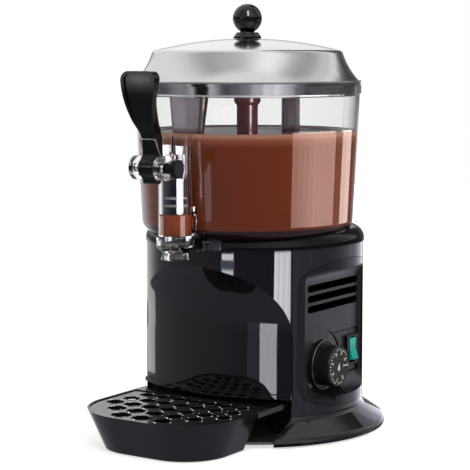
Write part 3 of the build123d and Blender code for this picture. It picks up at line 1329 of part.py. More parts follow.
# Thermostat behind the control panel, with a threaded neck through it
with BuildPart() as thermostat_body:
    case_x = PANEL_X - PANEL_T
    neck_x = RECESS_X + THERMOSTAT_NUT_T + SEAT_GAP
    with BuildSketch(Plane.YZ.offset(case_x)):
        with Locations((DIAL_Y, DIAL_Z)):
            RectangleRounded(THERMOSTAT_W, THERMOSTAT_W, WALL)
    extrude(amount=-THERMOSTAT_D)
    with BuildSketch(Plane.YZ.offset(case_x - THERMOSTAT_D)):
        with Locations((DIAL_Y, DIAL_Z)):
            with GridLocations(THERMOSTAT_W / 2, 0, 2, 1):
                Rectangle(BUSH_T / 2, THERMOSTAT_W / 4)
    extrude(amount=-THERMOSTAT_D / 3)
    revolve(
        along_x(
            DIAL_Y, DIAL_Z,
            (case_x, 0), (neck_x, 0), (neck_x, THERMOSTAT_NECK_R), (case_x, THERMOSTAT_NECK_R),
        ),
        axis=DIAL_AXIS,
    )
    bore_r = SPINDLE_R + RUN_GAP
    bore_x = case_x - THERMOSTAT_D / 2
    revolve(
        along_x(DIAL_Y, DIAL_Z, (bore_x, 0), (neck_x, 0), (neck_x, bore_r), (bore_x, bore_r)),
        axis=DIAL_AXIS, mode=Mode.SUBTRACT,
    )
save(thermostat_body, "thermostat_body")

# Nut on the thermostat's neck
with BuildPart() as thermostat_nut:
    with BuildSketch(Plane.YZ.offset(RECESS_X)):
        with Locations((DIAL_Y, DIAL_Z)):
            RegularPolygon(THERMOSTAT_NUT_R, 6)
            Circle(THERMOSTAT_NECK_R + FIX_GAP, mode=Mode.SUBTRACT)
    extrude(amount=THERMOSTAT_NUT_T)
save(thermostat_nut, "thermostat_nut")

# Spindle that the dial turns
with BuildPart() as dial_spindle:
    dial_back = RECESS_X + FREE_GAP
    spindle_end = dial_back + DIAL_HOLLOW + DIAL_BORE_DEPTH - SEAT_GAP
    spindle_start = bore_x + FREE_GAP
    revolve(
        along_x(
            DIAL_Y, DIAL_Z,
            (spindle_start, 0), (spindle_end, 0), (spindle_end, SPINDLE_R), (spindle_start, SPINDLE_R),
        ),
        axis=DIAL_AXIS,
    )
save(dial_spindle, "dial_spindle")

# Dial with a thin skirt
with BuildPart() as thermostat_dial:
    dial_face = RECESS_X + DIAL_H
    skirt_x = dial_back + DIAL_SKIRT_H
    hollow_x = dial_back + DIAL_HOLLOW
    socket_x = hollow_x + DIAL_BORE_DEPTH
    socket_r = SPINDLE_R + FIX_GAP
    revolve(
        along_x(
            DIAL_Y, DIAL_Z,
            (hollow_x, DIAL_HOLLOW_R), (dial_back, DIAL_HOLLOW_R), (dial_back, DIAL_SKIRT_R),
            (skirt_x, DIAL_SKIRT_R), (skirt_x, DIAL_R), (dial_face - DIAL_EDGE, DIAL_R),
            (dial_face, DIAL_R - DIAL_EDGE), (dial_face, 0), (socket_x, 0), (socket_x, socket_r),
            (hollow_x, socket_r),
        ),
        axis=DIAL_AXIS,
    )
save(thermostat_dial, "thermostat_dial")

# Switch: a bezel on the panel with a deep pocket for the rocker
with BuildPart() as switch_housing:
    pivot_x = PLATE_X - ROCKER_PIN_R
    with BuildSketch(Plane.YZ.offset(PLATE_X)):
        with Locations((SWITCH_Y, SWITCH_Z)):
            RectangleRounded(BEZEL_W, BEZEL_H, BEZEL_T / 2)
    extrude(amount=BEZEL_T)
    with BuildSketch(Plane.YZ.offset(PLATE_X)):
        with Locations((SWITCH_Y, SWITCH_Z)):
            Rectangle(BEZEL_W - 2 * (SWITCH_LAP + FIX_GAP), BEZEL_H - 2 * (SWITCH_LAP + FIX_GAP))
    extrude(amount=-SWITCH_D)
    with BuildSketch(Plane.YZ.offset(pivot_x - ROCKER_REACH)):
        with Locations((SWITCH_Y, SWITCH_Z)):
            Rectangle(ROCKER_W + 2 * FREE_GAP, 2 * (ROCKER_REACH + FREE_GAP))
    extrude(amount=ROCKER_REACH + SWITCH_D, mode=Mode.SUBTRACT)
    with BuildSketch(Plane.XZ.offset(-SWITCH_Y)):
        with Locations((pivot_x, SWITCH_Z)):
            Circle(ROCKER_PIN_R + FIX_GAP)
    extrude(amount=ROCKER_W / 2 + ROCKER_PIN_R + FREE_GAP, both=True, mode=Mode.SUBTRACT)
save(switch_housing, "switch_housing")

# Pin that the rocker tips on
with BuildPart() as rocker_pin:
    with BuildSketch(Plane.XZ.offset(-SWITCH_Y)):
        with Locations((pivot_x, SWITCH_Z)):
            Circle(ROCKER_PIN_R)
    extrude(amount=ROCKER_W / 2 + ROCKER_PIN_R, both=True)
save(rocker_pin, "rocker_pin")

# Rocker at rest with its lower end out
with BuildPart() as switch_rocker:
    rest = radians(ROCKER_TILT)
    rocker_plane = Plane(
        origin=(pivot_x, SWITCH_Y, SWITCH_Z), x_dir=(cos(rest), 0, sin(rest)), z_dir=(0, -1, 0)
    )
    with BuildSketch(rocker_plane):
        with BuildLine():
            Polyline(
                (ROCKER_PROUD, ROCKER_HALF), (ROCKER_PROUD - ROCKER_DIP, 0), (ROCKER_PROUD, -ROCKER_HALF),
                (0, -ROCKER_HALF), (-ROCKER_BACK, -ROCKER_HALF / 2), (-ROCKER_BACK, ROCKER_HALF / 2),
                (0, ROCKER_HALF), close=True,
            )
        make_face()
        Circle(ROCKER_PIN_R + RUN_GAP, mode=Mode.SUBTRACT)
    extrude(amount=ROCKER_W / 2, both=True)
save(switch_rocker, "switch_rocker")


def tray_outline(inset, level):
    """The front part of the tray seen from above, drawn in by inset, at a height."""
    half = TRAY_HALF - inset
    front = TRAY_FRONT + inset
    with BuildSketch(Plane.XY.offset(level)) as outline:
        with Locations((0, TRAY_STEP_Y)):
            Rectangle(2 * half, TRAY_STEP_Y - front, align=(Align.CENTER, Align.MAX))
        fillet(outline.vertices().group_by(Axis.Y)[0], radius=TRAY_CORNER_R - inset)
    return outline.sketch


def grid_outline(inset, level):
    """The outline of the grid, which ends just in front of the niche wall."""
    half = TRAY_HALF - RIM_W - inset
    front = TRAY_FRONT + RIM_W + inset
    with BuildSketch(Plane.XY.offset(level)) as outline:
        with Locations((0, front)):
            Rectangle(2 * half, GRID_BACK - inset - front, align=(Align.CENTER, Align.MIN))
        fillet(outline.vertices().group_by(Axis.Y)[0], radius=TRAY_CORNER_R - RIM_W - inset)
    return outline.sketch


# Drip tray: a tapered bucket in front, a narrow neck that slides into the bay, and a rim for the grid
with BuildPart() as drip_tray:
    grid_low = TRAY_H - GRID_DROP - GRID_T
    rim_low = TRAY_H - TRAY_FLANGE
    neck_half = TRAY_HALF - TRAY_NECK
    neck_length = TRAY_BACK - TRAY_STEP_Y
    lean = TRAY_DRAFT / (TRAY_H - TRAY_FOOT_GAP)
    loft(sections=[tray_outline(TRAY_DRAFT, TRAY_FOOT_GAP), tray_outline(0, TRAY_H)])
    with BuildSketch(Plane.XY.offset(TRAY_NECK_LOW)):
        with Locations((0, TRAY_STEP_Y)):
            Rectangle(2 * neck_half, neck_length, align=(Align.CENTER, Align.MIN))
    extrude(amount=TRAY_H - TRAY_NECK_LOW)
    with BuildSketch(Plane.XY.offset(rim_low)):
        with Locations((0, TRAY_STEP_Y)):
            Rectangle(2 * TRAY_HALF, neck_length, align=(Align.CENTER, Align.MIN))
    extrude(amount=TRAY_FLANGE)
    floor_z = TRAY_FOOT_GAP + TRAY_WALL
    floor_inset = TRAY_DRAFT - lean * TRAY_WALL + TRAY_WALL
    top_inset = lean * TRAY_FLANGE + TRAY_WALL
    with BuildPart(mode=Mode.PRIVATE) as bucket:
        loft(sections=[tray_outline(floor_inset, floor_z), tray_outline(top_inset, rim_low)])
        with Locations((0, TRAY_STEP_Y, floor_z)):
            Box(
                4 * TRAY_HALF, 2 * TRAY_WALL, TRAY_H,
                align=(Align.CENTER, Align.CENTER, Align.MIN), mode=Mode.SUBTRACT,
            )
    add(bucket.part, mode=Mode.SUBTRACT)
    with BuildSketch(Plane.XY.offset(TRAY_NECK_LOW + TRAY_WALL)):
        with Locations((0, TRAY_STEP_Y - 2 * TRAY_WALL)):
            Rectangle(
                2 * (neck_half - TRAY_WALL), neck_length + TRAY_WALL, align=(Align.CENTER, Align.MIN)
            )
    extrude(amount=rim_low - TRAY_NECK_LOW - TRAY_WALL, mode=Mode.SUBTRACT)
    extrude(grid_outline(GRID_SEAT, rim_low), amount=TRAY_FLANGE, mode=Mode.SUBTRACT)
    extrude(grid_outline(0, grid_low), amount=TRAY_FLANGE, mode=Mode.SUBTRACT)
save(drip_tray, "drip_tray")


def grid_hole_fits(x, y, radius):
    """Whether a hole keeps its web to every edge of the grid."""
    room = radius + GRID_EDGE
    half = TRAY_HALF - RIM_W - FREE_GAP
    corner = TRAY_CORNER_R - RIM_W - FREE_GAP
    front = TRAY_FRONT + RIM_W + FREE_GAP
    side_room = half - abs(x)
    rear_room = GRID_BACK - FREE_GAP - y
    past_side = abs(x) - (half - corner)
    past_front = front + corner - y
    if past_side > 0 and past_front > 0:
        side_room = corner - sqrt(past_side**2 + past_front**2)
    return min(side_room, rear_room, y - front) >= room


# Grid: a plate with rows of round holes
with BuildPart() as drip_grid:
    extrude(grid_outline(FREE_GAP, grid_low + SEAT_GAP), amount=GRID_T - SEAT_GAP)
    row_y = TRAY_FRONT + GRID_FIRST
    scale_down = 1.0
    while row_y < GRID_BACK:
        places = []
        for step in range(-6, 7):
            x = step * GRID_PITCH * scale_down
            if grid_hole_fits(x, row_y, GRID_HOLE_R * scale_down):
                places.append((x, row_y))
        if places:
            with BuildSketch(Plane.XY.offset(grid_low)):
                with Locations(*places):
                    Circle(GRID_HOLE_R * scale_down)
            extrude(amount=2 * GRID_T, mode=Mode.SUBTRACT)
        row_y += GRID_ROW
        scale_down *= GRID_TAPER
save(drip_grid, "drip_grid")

# Base plate that closes the housing and carries the tray's neck
with BuildPart() as base_plate:
    with BuildSketch(Plane.XY.offset(BASE_LOW)):
        with Locations((0, BODY_Y)):
            Circle(FOOT_R - WALL - BASE_GAP)
        with Locations((0, TRAY_STEP_Y + TRAY_FLANGE)):
            Rectangle(2 * (BAY_HALF + BASE_GAP), FOOT_R, align=(Align.CENTER, Align.MAX), mode=Mode.SUBTRACT)
        with Locations(*boss_places()):
            Circle(SCREW_R + FIX_GAP, mode=Mode.SUBTRACT)
    extrude(amount=BASE_T)
save(base_plate, "base_plate")

# Rubber feet round the screw heads
with BuildPart() as rubber_feet:
    with BuildSketch(Plane.XY):
        with Locations(*boss_places()):
            Circle(PAD_R)
            Circle(SCREW_HEAD_R + FREE_GAP, mode=Mode.SUBTRACT)
    extrude(amount=PAD_H)
save(rubber_feet, "rubber_feet")

# Screws that hold the base plate
with BuildPart() as base_screws:
    with BuildSketch(Plane.XY.offset(BASE_LOW - SCREW_HEAD_H)):
        with Locations(*boss_places()):
            Circle(SCREW_HEAD_R)
    extrude(amount=SCREW_HEAD_H)
    with BuildSketch(Plane.XY.offset(BASE_LOW)):
        with Locations(*boss_places()):
            Circle(SCREW_R)
    extrude(amount=BASE_T + SCREW_IN - FREE_GAP)
    with BuildSketch(Plane.XY.offset(BASE_LOW - SCREW_HEAD_H)):
        with Locations(*boss_places()):
            Rectangle(SCREW_HEAD_R * 1.3, SCREW_R / 2)
            Rectangle(SCREW_R / 2, SCREW_HEAD_R * 1.3)
    extrude(amount=SCREW_HEAD_H / 2, mode=Mode.SUBTRACT)
save(base_screws, "base_screws")

# Cord gland at the back
with BuildPart() as cord_gland:
    back_y = BODY_Y + BODY_R
    for start, end, radius in (
        (back_y - GLAND_IN, back_y + GLAND_OUT, GLAND_R),
        (back_y - WALL / 2, back_y + GLAND_FLANGE_T, GLAND_FLANGE_R),
    ):
        with BuildSketch(Plane.XZ.offset(-start)):
            with Locations((0, GLAND_Z)):
                Circle(radius)
        extrude(amount=start - end)
    with BuildSketch(Plane.XY.offset(GLAND_Z - GLAND_FLANGE_R)) as wall_ring:
        with Locations((0, BODY_Y)):
            Circle(BODY_R)
            Circle(BODY_R - GLAND_IN - WALL, mode=Mode.SUBTRACT)
    with BuildPart(mode=Mode.PRIVATE) as wall_band:
        extrude(wall_ring.sketch, amount=2 * GLAND_FLANGE_R)
        with BuildSketch(Plane.XZ.offset(-BODY_Y)):
            with Locations((0, GLAND_Z)):
                Circle(GLAND_R)
        extrude(amount=-FOOT_R, mode=Mode.SUBTRACT)
    add(wall_band.part, mode=Mode.SUBTRACT)
    with BuildSketch(Plane.XZ.offset(-back_y + GLAND_IN)):
        with Locations((0, GLAND_Z)):
            Circle(GLAND_BORE)
    extrude(amount=-GLAND_IN - GLAND_OUT, mode=Mode.SUBTRACT)
save(cord_gland, "cord_gland")

# Terminal block on the base plate
with BuildPart() as terminal_block:
    with BuildSketch(Plane.XY.offset(BASE_TOP)):
        with Locations((0, TERMINAL_Y)):
            Rectangle(TERMINAL_W, TERMINAL_D)
    extrude(amount=TERMINAL_H)
    with BuildSketch(Plane.XY.offset(BASE_TOP + TERMINAL_H / 2)):
        with Locations((0, TERMINAL_Y)):
            with GridLocations(TERMINAL_W / TERMINAL_WAYS, TERMINAL_D / 2, TERMINAL_WAYS, 2):
                Circle(TERMINAL_W / TERMINAL_WAYS / 3)
    extrude(amount=TERMINAL_H, mode=Mode.SUBTRACT)
save(terminal_block, "terminal_block")
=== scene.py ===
"""Looks for a countertop hot chocolate dispenser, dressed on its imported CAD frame."""

import json
import math

import bmesh
import bpy
from mathutils import Matrix, Vector


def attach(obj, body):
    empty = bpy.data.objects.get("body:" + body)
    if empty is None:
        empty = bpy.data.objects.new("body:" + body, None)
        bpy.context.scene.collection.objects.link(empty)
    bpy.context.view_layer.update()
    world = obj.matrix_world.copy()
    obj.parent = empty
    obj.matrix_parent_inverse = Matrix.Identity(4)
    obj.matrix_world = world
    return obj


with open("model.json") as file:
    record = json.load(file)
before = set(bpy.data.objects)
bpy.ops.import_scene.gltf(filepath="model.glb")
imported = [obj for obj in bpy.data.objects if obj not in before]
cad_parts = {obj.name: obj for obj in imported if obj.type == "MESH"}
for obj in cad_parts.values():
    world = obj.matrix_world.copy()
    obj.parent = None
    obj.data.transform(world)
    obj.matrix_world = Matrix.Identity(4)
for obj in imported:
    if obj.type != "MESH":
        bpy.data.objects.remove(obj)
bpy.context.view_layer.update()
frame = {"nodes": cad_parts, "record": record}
NODES = frame["nodes"]

MM = 0.001

# Sizes repeated from the part's source, in millimetres.
BODY_Y = 39.0
BODY_R = 108.0
PANEL_FACE_X = 88.0
PLATE_X = 87.2
PLATE_REAR_Y = 92.5
PLATE_Z = (52.5, 96.0)
BOWL_Y = 25.0
BOWL_FLOOR_Z = 194.8
BOWL_FLAT_R = 90.0
BOWL_BEND_Z = 206.0
BOWL_BEND_R = 11.2
BOWL_INNER_LOW_R = 101.2
BOWL_INNER_TOP_R = 107.2
BOWL_INNER_TOP_Z = 327.0
CHIMNEY_R = 8.0
TAP_Y = -97.5
TAP_BORE_R = 12.0
TAP_SEAT_Z = 199.0
PISTON_LOW_Z = 219.5
INLET_Z = 210.0
INLET_R = 7.0
DIAL_Y = 26.5
DIAL_Z = 67.0
DIAL_FACE_X = 104.8
DIAL_SKIRT_X = 88.85
DIAL_SKIRT_R = 24.0
GRID_ROWS = ((1, -151.0), (2, -130.2), (3, -109.4), (3, -88.6), (3, -67.8))  # holes beside the middle one, Y
GRID_PITCH = 23.5
GRID_TAPER = 0.94
GRID_HOLE_R = 9.2
GRID_TOP_Z = 37.0

# The drink, in millimetres.
LEVEL_Z = 291.0
SINK_IN = 0.15  # how far the drink reaches into the clear wall, so that no air shows between them
MENISCUS_H = 1.6  # climb of the drink up the wall
MENISCUS = ((0.4, 0.72), (1.0, 0.4), (1.8, 0.16), (3.5, 0.0))  # distance from the wall, share of the climb
TOP_RINGS = (92.0, 80.0, 66.0, 50.0, 36.0, 24.0, 15.0)  # radii of its rings of points inside the climb
BEND_STEPS = 10
BOWL_STEPS = 160
STILL_ROWS = 3  # rows of the climb that don't swirl
SWIRL_H = 0.35
SWIRL_TWIST = 14.0  # radius for each radian that the swirl lags
SWIRL_MARGIN = 10.0  # distance from the wall at which the swirl is full
# Heights of the painted glow on the drink's side, below the level.
PALE_Z = (LEVEL_Z - 12.0, LEVEL_Z - 2.0)
PALEST_Z = (LEVEL_Z - 4.5, LEVEL_Z)
SHADED_BEND_Z = (204.5, 201.5)
BEHIND_TAP_Y = (-80.0, -78.0)  # the drink in the tap, in front of this, gets no painted shade
TAP_DRINK_Z = (TAP_SEAT_Z + 0.05, PISTON_LOW_Z - 0.1)
TAP_DRINK_CORE = 0.4  # a hair-thin hole along the axis
TAP_STEPS = 64
INLET_STEPS = 40
INLET_OVERLAP = (4.0, 3.0)  # how far the inlet's drink starts behind the tap's axis and ends inside the bowl

# Other places at which a look changes, in millimetres.
FILM_Z = (LEVEL_Z + 6.0, LEVEL_Z - 1.0)
PLUNGER_Z = (257.0, 253.0)
ROCKER_LAMP_Z = (74.0, 84.0)
PANEL_RECESS_X = (PANEL_FACE_X - 1.2, PANEL_FACE_X - 0.9)
PANEL_BORDER_R = (BODY_R - 0.4, BODY_R - 0.9)

# Print on the dial: sizes in millimetres, turns in degrees clockwise from the top. A bar is given as half its
# width, its start and its end.
DIAL_TURNS = (150.0, 426.0)
DIAL_STEPS = 24
DIAL_MINOR = 4  # steps from one number to the next
DIGIT_R = 13.2
DIGIT_SIZE = 6.0
DIGIT_EXTRUDE = 0.08
DIGIT_BOLD = 0.06
INK_T = 0.12
INK_SINK = 0.05
TICK = (0.35, 15.6, 17.6)
BAR_TURN = 93.0
BARS = ((0.45, 8.0, 17.0), (1.5, 8.0, 8.9), (1.5, 16.2, 17.1))
DROP_TURN = 10.0
DROP_R = 2.1
DROP_LOW = 2.2
DROP_TIP = 3.4
RED_TURN = 52.0
RED_MARK = (0.5, 9.5, 12.4)

# Trim, in millimetres.
HOLE_RIM_T = 0.5
HOLE_RIM_OUT = 0.25
HOLE_RIM_SINK = 0.1
DIAL_RIM_T = 0.32
DIAL_RIM_SINK = 0.15
LID_BEAD_R = 110.7
LID_BEAD_Z = 340.0
LID_BEAD_T = 0.7
# The paddle's fold at two heights: Z, inner edge, outer edge.
FOLD_EDGES = ((240.0, (-22.4, -32.6), (-20.4, -31.3)), (329.0, (-17.0, -31.8), (-9.8, -27.0)))
FOLD_T = 2.4
# A painted shadow line in the step round the switch plate.
SHADOW_LINE_W = 1.0
SHADOW_LINE_X = (PLATE_X - 0.1, PLATE_X + 0.5)
SHADOW_LINE_FRONT_Y = 46.0
SHADOW_LINE_LOW_Y = 64.0

# The photograph's camera: place in metres, angles in degrees, lens and sensor in millimetres.
CAMERA_AT = (0.8652, -1.3072, 0.366)
CAMERA_TILT_DOWN = 6.392
CAMERA_YAW = 33.4364
CAMERA_LENS = 123.68
CAMERA_SENSOR = 36.0

# Walls that show panels to the camera: the axis's Y, then a low and a high (height, radius), in millimetres.
BODY_WALL = (BODY_Y, (22.0, BODY_R), (184.0, BODY_R))
NICHE_WALL = (108.8, (38.0, 160.4), (150.0, 160.4))
BOWL_WALL = (BOWL_Y, (BOWL_BEND_Z, 104.0), (BOWL_INNER_TOP_Z, 110.0))
SKIRT_WALL = (BOWL_Y, (326.0, 105.0), (338.0, 105.0))  # the lid's skirt inside the bowl's rim
SLEEVE_WALL = (BOWL_Y, (LEVEL_Z, 10.0), (336.0, 10.0))
PISTON_WALL = (TAP_Y, (PISTON_LOW_Z, 11.7), (283.5, 11.7))
TAP_WALL = (TAP_Y, (TAP_SEAT_Z, 15.5), (219.0, 15.5))
LEVER_Y = -154.0
FLAT_R = 5000.0  # so large that the wall is as flat as the lever's face
LEVER_WALL = (FLAT_R + LEVER_Y, (264.0, FLAT_R), (351.0, FLAT_R))


def even(first, last, count):
    """Numbers from first to last in equal steps."""
    return [first + (last - first) * step / count for step in range(count + 1)]


def circle(steps):
    """Angles once round, in radians."""
    return [2.0 * math.pi * step / steps for step in range(steps)]


# Short ways to build materials.

GRAIN_LOW, GRAIN_HIGH = 0.3, 0.7  # most of a noise lies between these
WHITE = (1.0, 1.0, 1.0)


def material(name, color, roughness, **sockets):
    """A new material. Constants go straight on the shader's own sockets, spaces written as _."""
    mat = bpy.data.materials.new(name)
    mat.use_nodes = True
    shader = mat.node_tree.nodes["Principled BSDF"]
    shader.inputs["Base Color"].default_value = (*color, 1.0)
    shader.inputs["Roughness"].default_value = roughness
    for socket, value in sockets.items():
        shader.inputs[socket.replace("_", " ")].default_value = value
    return mat, mat.node_tree, shader


def place(tree, stretch=(1.0, 1.0, 1.0)):
    """The object's own coordinates in metres, stretched along the axes."""
    coords = tree.nodes.new("ShaderNodeTexCoord")
    mapping = tree.nodes.new("ShaderNodeMapping")
    mapping.inputs["Scale"].default_value = stretch
    tree.links.new(coords.outputs["Object"], mapping.inputs["Vector"])
    return mapping.outputs["Vector"]


def grain(tree, scale, detail, stretch=(1.0, 1.0, 1.0)):
    """Noise with so many lumps per metre, 0 to 1."""
    noise = tree.nodes.new("ShaderNodeTexNoise")
    noise.inputs["Scale"].default_value = scale
    noise.inputs["Detail"].default_value = detail
    tree.links.new(place(tree, stretch), noise.inputs["Vector"])
    return noise.outputs["Fac"]


def along(tree, axis):
    """One of the object's own coordinates, in metres."""
    split = tree.nodes.new("ShaderNodeSeparateXYZ")
    tree.links.new(place(tree), split.inputs["Vector"])
    return split.outputs[axis]


def math_node(tree, operation, first, second=None):
    """A Math node on sockets or plain numbers."""
    node = tree.nodes.new("ShaderNodeMath")
    node.operation = operation
    for value, socket in zip((first, second), node.inputs):
        if value is None:
            continue
        if isinstance(value, (int, float)):
            socket.default_value = value
        else:
            tree.links.new(value, socket)
    return node.outputs["Value"]


def span(tree, value, start, end, low=0.0, high=1.0, smooth=False):
    """Value between start and end becomes low to high, held outside."""
    node = tree.nodes.new("ShaderNodeMapRange")
    if smooth:
        node.interpolation_type = "SMOOTHSTEP"
    for name, number in zip(("From Min", "From Max", "To Min", "To Max"), (start, end, low, high)):
        node.inputs[name].default_value = number
    tree.links.new(value, node.inputs["Value"])
    return node.outputs["Result"]


def step_mm(tree, value, start, end, smooth=False):
    """0 to 1 as a value in metres goes from start to end in millimetres."""
    return span(tree, value, start * MM, end * MM, smooth=smooth)


def between(tree, axis, start, end):
    """0 to 1, softly, as one of the object's own coordinates goes from start to end in millimetres."""
    return step_mm(tree, along(tree, axis), start, end, smooth=True)


def ring_radius(tree, centre_y):
    """Distance from a vertical axis at (0, centre_y), in metres, centre_y in millimetres."""
    forward = math_node(tree, "SUBTRACT", along(tree, "Y"), centre_y * MM)
    sideways = along(tree, "X")
    squares = math_node(
        tree, "ADD",
        math_node(tree, "MULTIPLY", sideways, sideways),
        math_node(tree, "MULTIPLY", forward, forward),
    )
    return math_node(tree, "SQRT", squares)


def tint(tree, factor, color_low, color_high):
    """A colour between two, by factor. A colour is three numbers or a socket."""
    node = tree.nodes.new("ShaderNodeMix")
    node.data_type = "RGBA"
    tree.links.new(factor, node.inputs[0])
    for color, socket in ((color_low, node.inputs[6]), (color_high, node.inputs[7])):
        if isinstance(color, tuple):
            socket.default_value = (*color, 1.0)
        else:
            tree.links.new(color, socket)
    return node.outputs[2]


def bump(tree, shader, height, depth):
    """Relief from a height of 0 to 1, depth in millimetres."""
    node = tree.nodes.new("ShaderNodeBump")
    node.inputs["Distance"].default_value = depth * MM
    tree.links.new(height, node.inputs["Height"])
    tree.links.new(node.outputs["Normal"], shader.inputs["Normal"])


def rough(tree, shader, factor, low, high):
    """Roughness that follows a noise."""
    tree.links.new(span(tree, factor, GRAIN_LOW, GRAIN_HIGH, low, high), shader.inputs["Roughness"])


def paint(tree, shader, color):
    """Base colour from a socket."""
    tree.links.new(color, shader.inputs["Base Color"])


# Materials.

def gloss_plastic(name, color, low, high, specular=0.5):
    """Polished moulding: faint flow ripple and light handling haze."""
    mat, tree, shader = material(name, color, low, IOR=1.5, Specular_IOR_Level=specular)
    rough(tree, shader, grain(tree, 40.0, 5.0), low, high)
    bump(tree, shader, grain(tree, 14.0, 1.0), 0.04)
    return mat


def satin_plastic(name, color, low, high, texture_scale, texture_depth, specular=0.5):
    """Spark-eroded moulding: a fine even texture with slightly shinier worn patches."""
    mat, tree, shader = material(name, color, low, IOR=1.5, Specular_IOR_Level=specular)
    rough(tree, shader, grain(tree, 55.0, 4.0), low, high)
    bump(tree, shader, grain(tree, texture_scale, 2.0), texture_depth)
    return mat


def panel_plastic(name):
    """Side panel: satin sunk face inside a polished border."""
    border_color, face_color = (0.006, 0.006, 0.008), (0.013, 0.0127, 0.015)
    border_roughness = 0.06
    mat, tree, shader = material(name, face_color, border_roughness, IOR=1.5, Specular_IOR_Level=0.32)
    sideways = math_node(tree, "ABSOLUTE", along(tree, "X"))
    over_recess = step_mm(tree, sideways, *PANEL_RECESS_X)
    inside_border = step_mm(tree, ring_radius(tree, BODY_Y), *PANEL_BORDER_R)
    face = math_node(tree, "MULTIPLY", over_recess, inside_border)
    haze = span(tree, grain(tree, 60.0, 4.0), GRAIN_LOW, GRAIN_HIGH, 0.30, 0.40)
    blend = tree.nodes.new("ShaderNodeMix")
    tree.links.new(face, blend.inputs[0])
    blend.inputs[2].default_value = border_roughness
    tree.links.new(haze, blend.inputs[3])
    tree.links.new(blend.outputs[0], shader.inputs["Roughness"])
    paint(tree, shader, tint(tree, face, border_color, face_color))
    bump(tree, shader, math_node(tree, "MULTIPLY", grain(tree, 3200.0, 2.0), face), 0.02)
    return mat


def clear_plastic(name, color, haze):
    """Clear moulding with a very faint haze and flow ripple."""
    mat, tree, shader = material(name, color, 0.0, IOR=1.49, Transmission_Weight=1.0)
    rough(tree, shader, grain(tree, 30.0, 3.0), 0.0, haze)
    bump(tree, shader, grain(tree, 22.0, 1.0), 0.02)
    return mat


def piston_plastic(name):
    """Clear piston with a dark plunger at its lower end."""
    clear, dark = (0.97, 0.97, 0.98), (0.012, 0.012, 0.0125)
    mat = clear_plastic(name, clear, 0.03)
    tree = mat.node_tree
    paint(tree, tree.nodes["Principled BSDF"], tint(tree, between(tree, "Z", *PLUNGER_Z), clear, dark))
    return mat


def spun_steel(name, color, low, high, centre_y):
    """Polished sheet spun on a lathe: very fine rings about a vertical axis."""
    mat, tree, shader = material(name, color, low, Metallic=1.0, Anisotropic=0.25)
    rings = tree.nodes.new("ShaderNodeTexNoise")
    rings.noise_dimensions = "1D"
    rings.inputs["Scale"].default_value = 2400.0
    rings.inputs["Detail"].default_value = 3.0
    tree.links.new(ring_radius(tree, centre_y), rings.inputs["W"])
    rough(tree, shader, grain(tree, 26.0, 4.0), low, high)
    bump(tree, shader, rings.outputs["Fac"], 0.0016)
    return mat


def worked_metal(name, color, dull, low, high, scale, stretch, depth, metallic=1.0):
    """Metal with a drawn, cast or plated grain and duller patches."""
    mat, tree, shader = material(name, color, low, Metallic=metallic)
    patches = grain(tree, 45.0, 4.0)
    paint(tree, shader, tint(tree, span(tree, patches, 0.4, 0.7), color, dull))
    rough(tree, shader, patches, low, high)
    bump(tree, shader, grain(tree, scale, 3.0, stretch), depth)
    return mat


def dipped_steel(name, bare, film_color, thin):
    """Stirrer steel, filmed with the drink: thick below the level, thin runs above it."""
    mat, tree, shader = material(name, bare, 0.25, Metallic=1.0)
    runs = grain(tree, 90.0, 4.0, (1.0, 1.0, 0.12))
    low_film = step_mm(tree, along(tree, "Z"), *FILM_Z)
    thin_film = math_node(tree, "MULTIPLY", span(tree, runs, 0.45, 0.75), thin)
    film = math_node(tree, "MAXIMUM", low_film, thin_film)
    paint(tree, shader, tint(tree, film, bare, film_color))
    tree.links.new(span(tree, film, 0.2, 0.8, 1.0, 0.0), shader.inputs["Metallic"])
    rough(tree, shader, runs, 0.2, 0.34)
    bump(tree, shader, runs, 0.06)
    return mat


def filmed(name, thin, thick):
    """A dried film of the drink over steel, in runs."""
    mat, tree, shader = material(name, thin, 0.2, IOR=1.5, Specular_IOR_Level=0.15)
    runs = grain(tree, 110.0, 4.0, (1.0, 1.0, 0.12))
    paint(tree, shader, tint(tree, span(tree, runs, 0.35, 0.7), thin, thick))
    rough(tree, shader, runs, 0.16, 0.28)
    bump(tree, shader, runs, 0.05)
    return mat


def drink(name, roughness, specular, depth=1.0, pale_edge=False):
    """Hot chocolate: deep brown with slow swirls, painted almost black as shade in the bend of the bowl.

    Its side may be painted paler towards the level, a painted glow where light comes in from above.
    """
    deep = tuple(part * depth for part in (0.156, 0.032, 0.0102))
    milky = tuple(part * depth for part in (0.182, 0.039, 0.0136))
    pale, palest, bend_shade = (0.36, 0.11, 0.058), (0.66, 0.32, 0.22), (0.012, 0.004, 0.003)
    mat, tree, shader = material(name, milky, roughness, IOR=1.4, Specular_IOR_Level=specular)
    swirls = grain(tree, 16.0, 4.0, (1.0, 1.0, 0.45))
    color = tint(tree, span(tree, swirls, 0.3, 0.75), deep, milky)
    if pale_edge:
        # Painted light: the side glows paler towards the level.
        color = tint(tree, between(tree, "Z", *PALE_Z), color, pale)
        color = tint(tree, between(tree, "Z", *PALEST_Z), color, palest)
    # Painted shade: the drink turns near black low in the bowl's bend, where the collar shades it.
    behind_tap = step_mm(tree, along(tree, "Y"), *BEHIND_TAP_Y)
    shaded_bend = math_node(tree, "MULTIPLY", between(tree, "Z", *SHADED_BEND_Z), behind_tap)
    paint(tree, shader, tint(tree, shaded_bend, color, bend_shade))
    bump(tree, shader, grain(tree, 60.0, 2.0), 0.02)
    return mat


def soft_rubber(name, color):
    """Seals and feet: matt, with a dusty bloom."""
    mat, tree, shader = material(name, color, 0.7)
    bloom = grain(tree, 120.0, 4.0)
    paler = tuple(part * 1.5 + 0.006 for part in color)
    paint(tree, shader, tint(tree, span(tree, bloom, 0.35, 0.75), color, paler))
    rough(tree, shader, bloom, 0.6, 0.82)
    bump(tree, shader, grain(tree, 1500.0, 2.0), 0.03)
    return mat


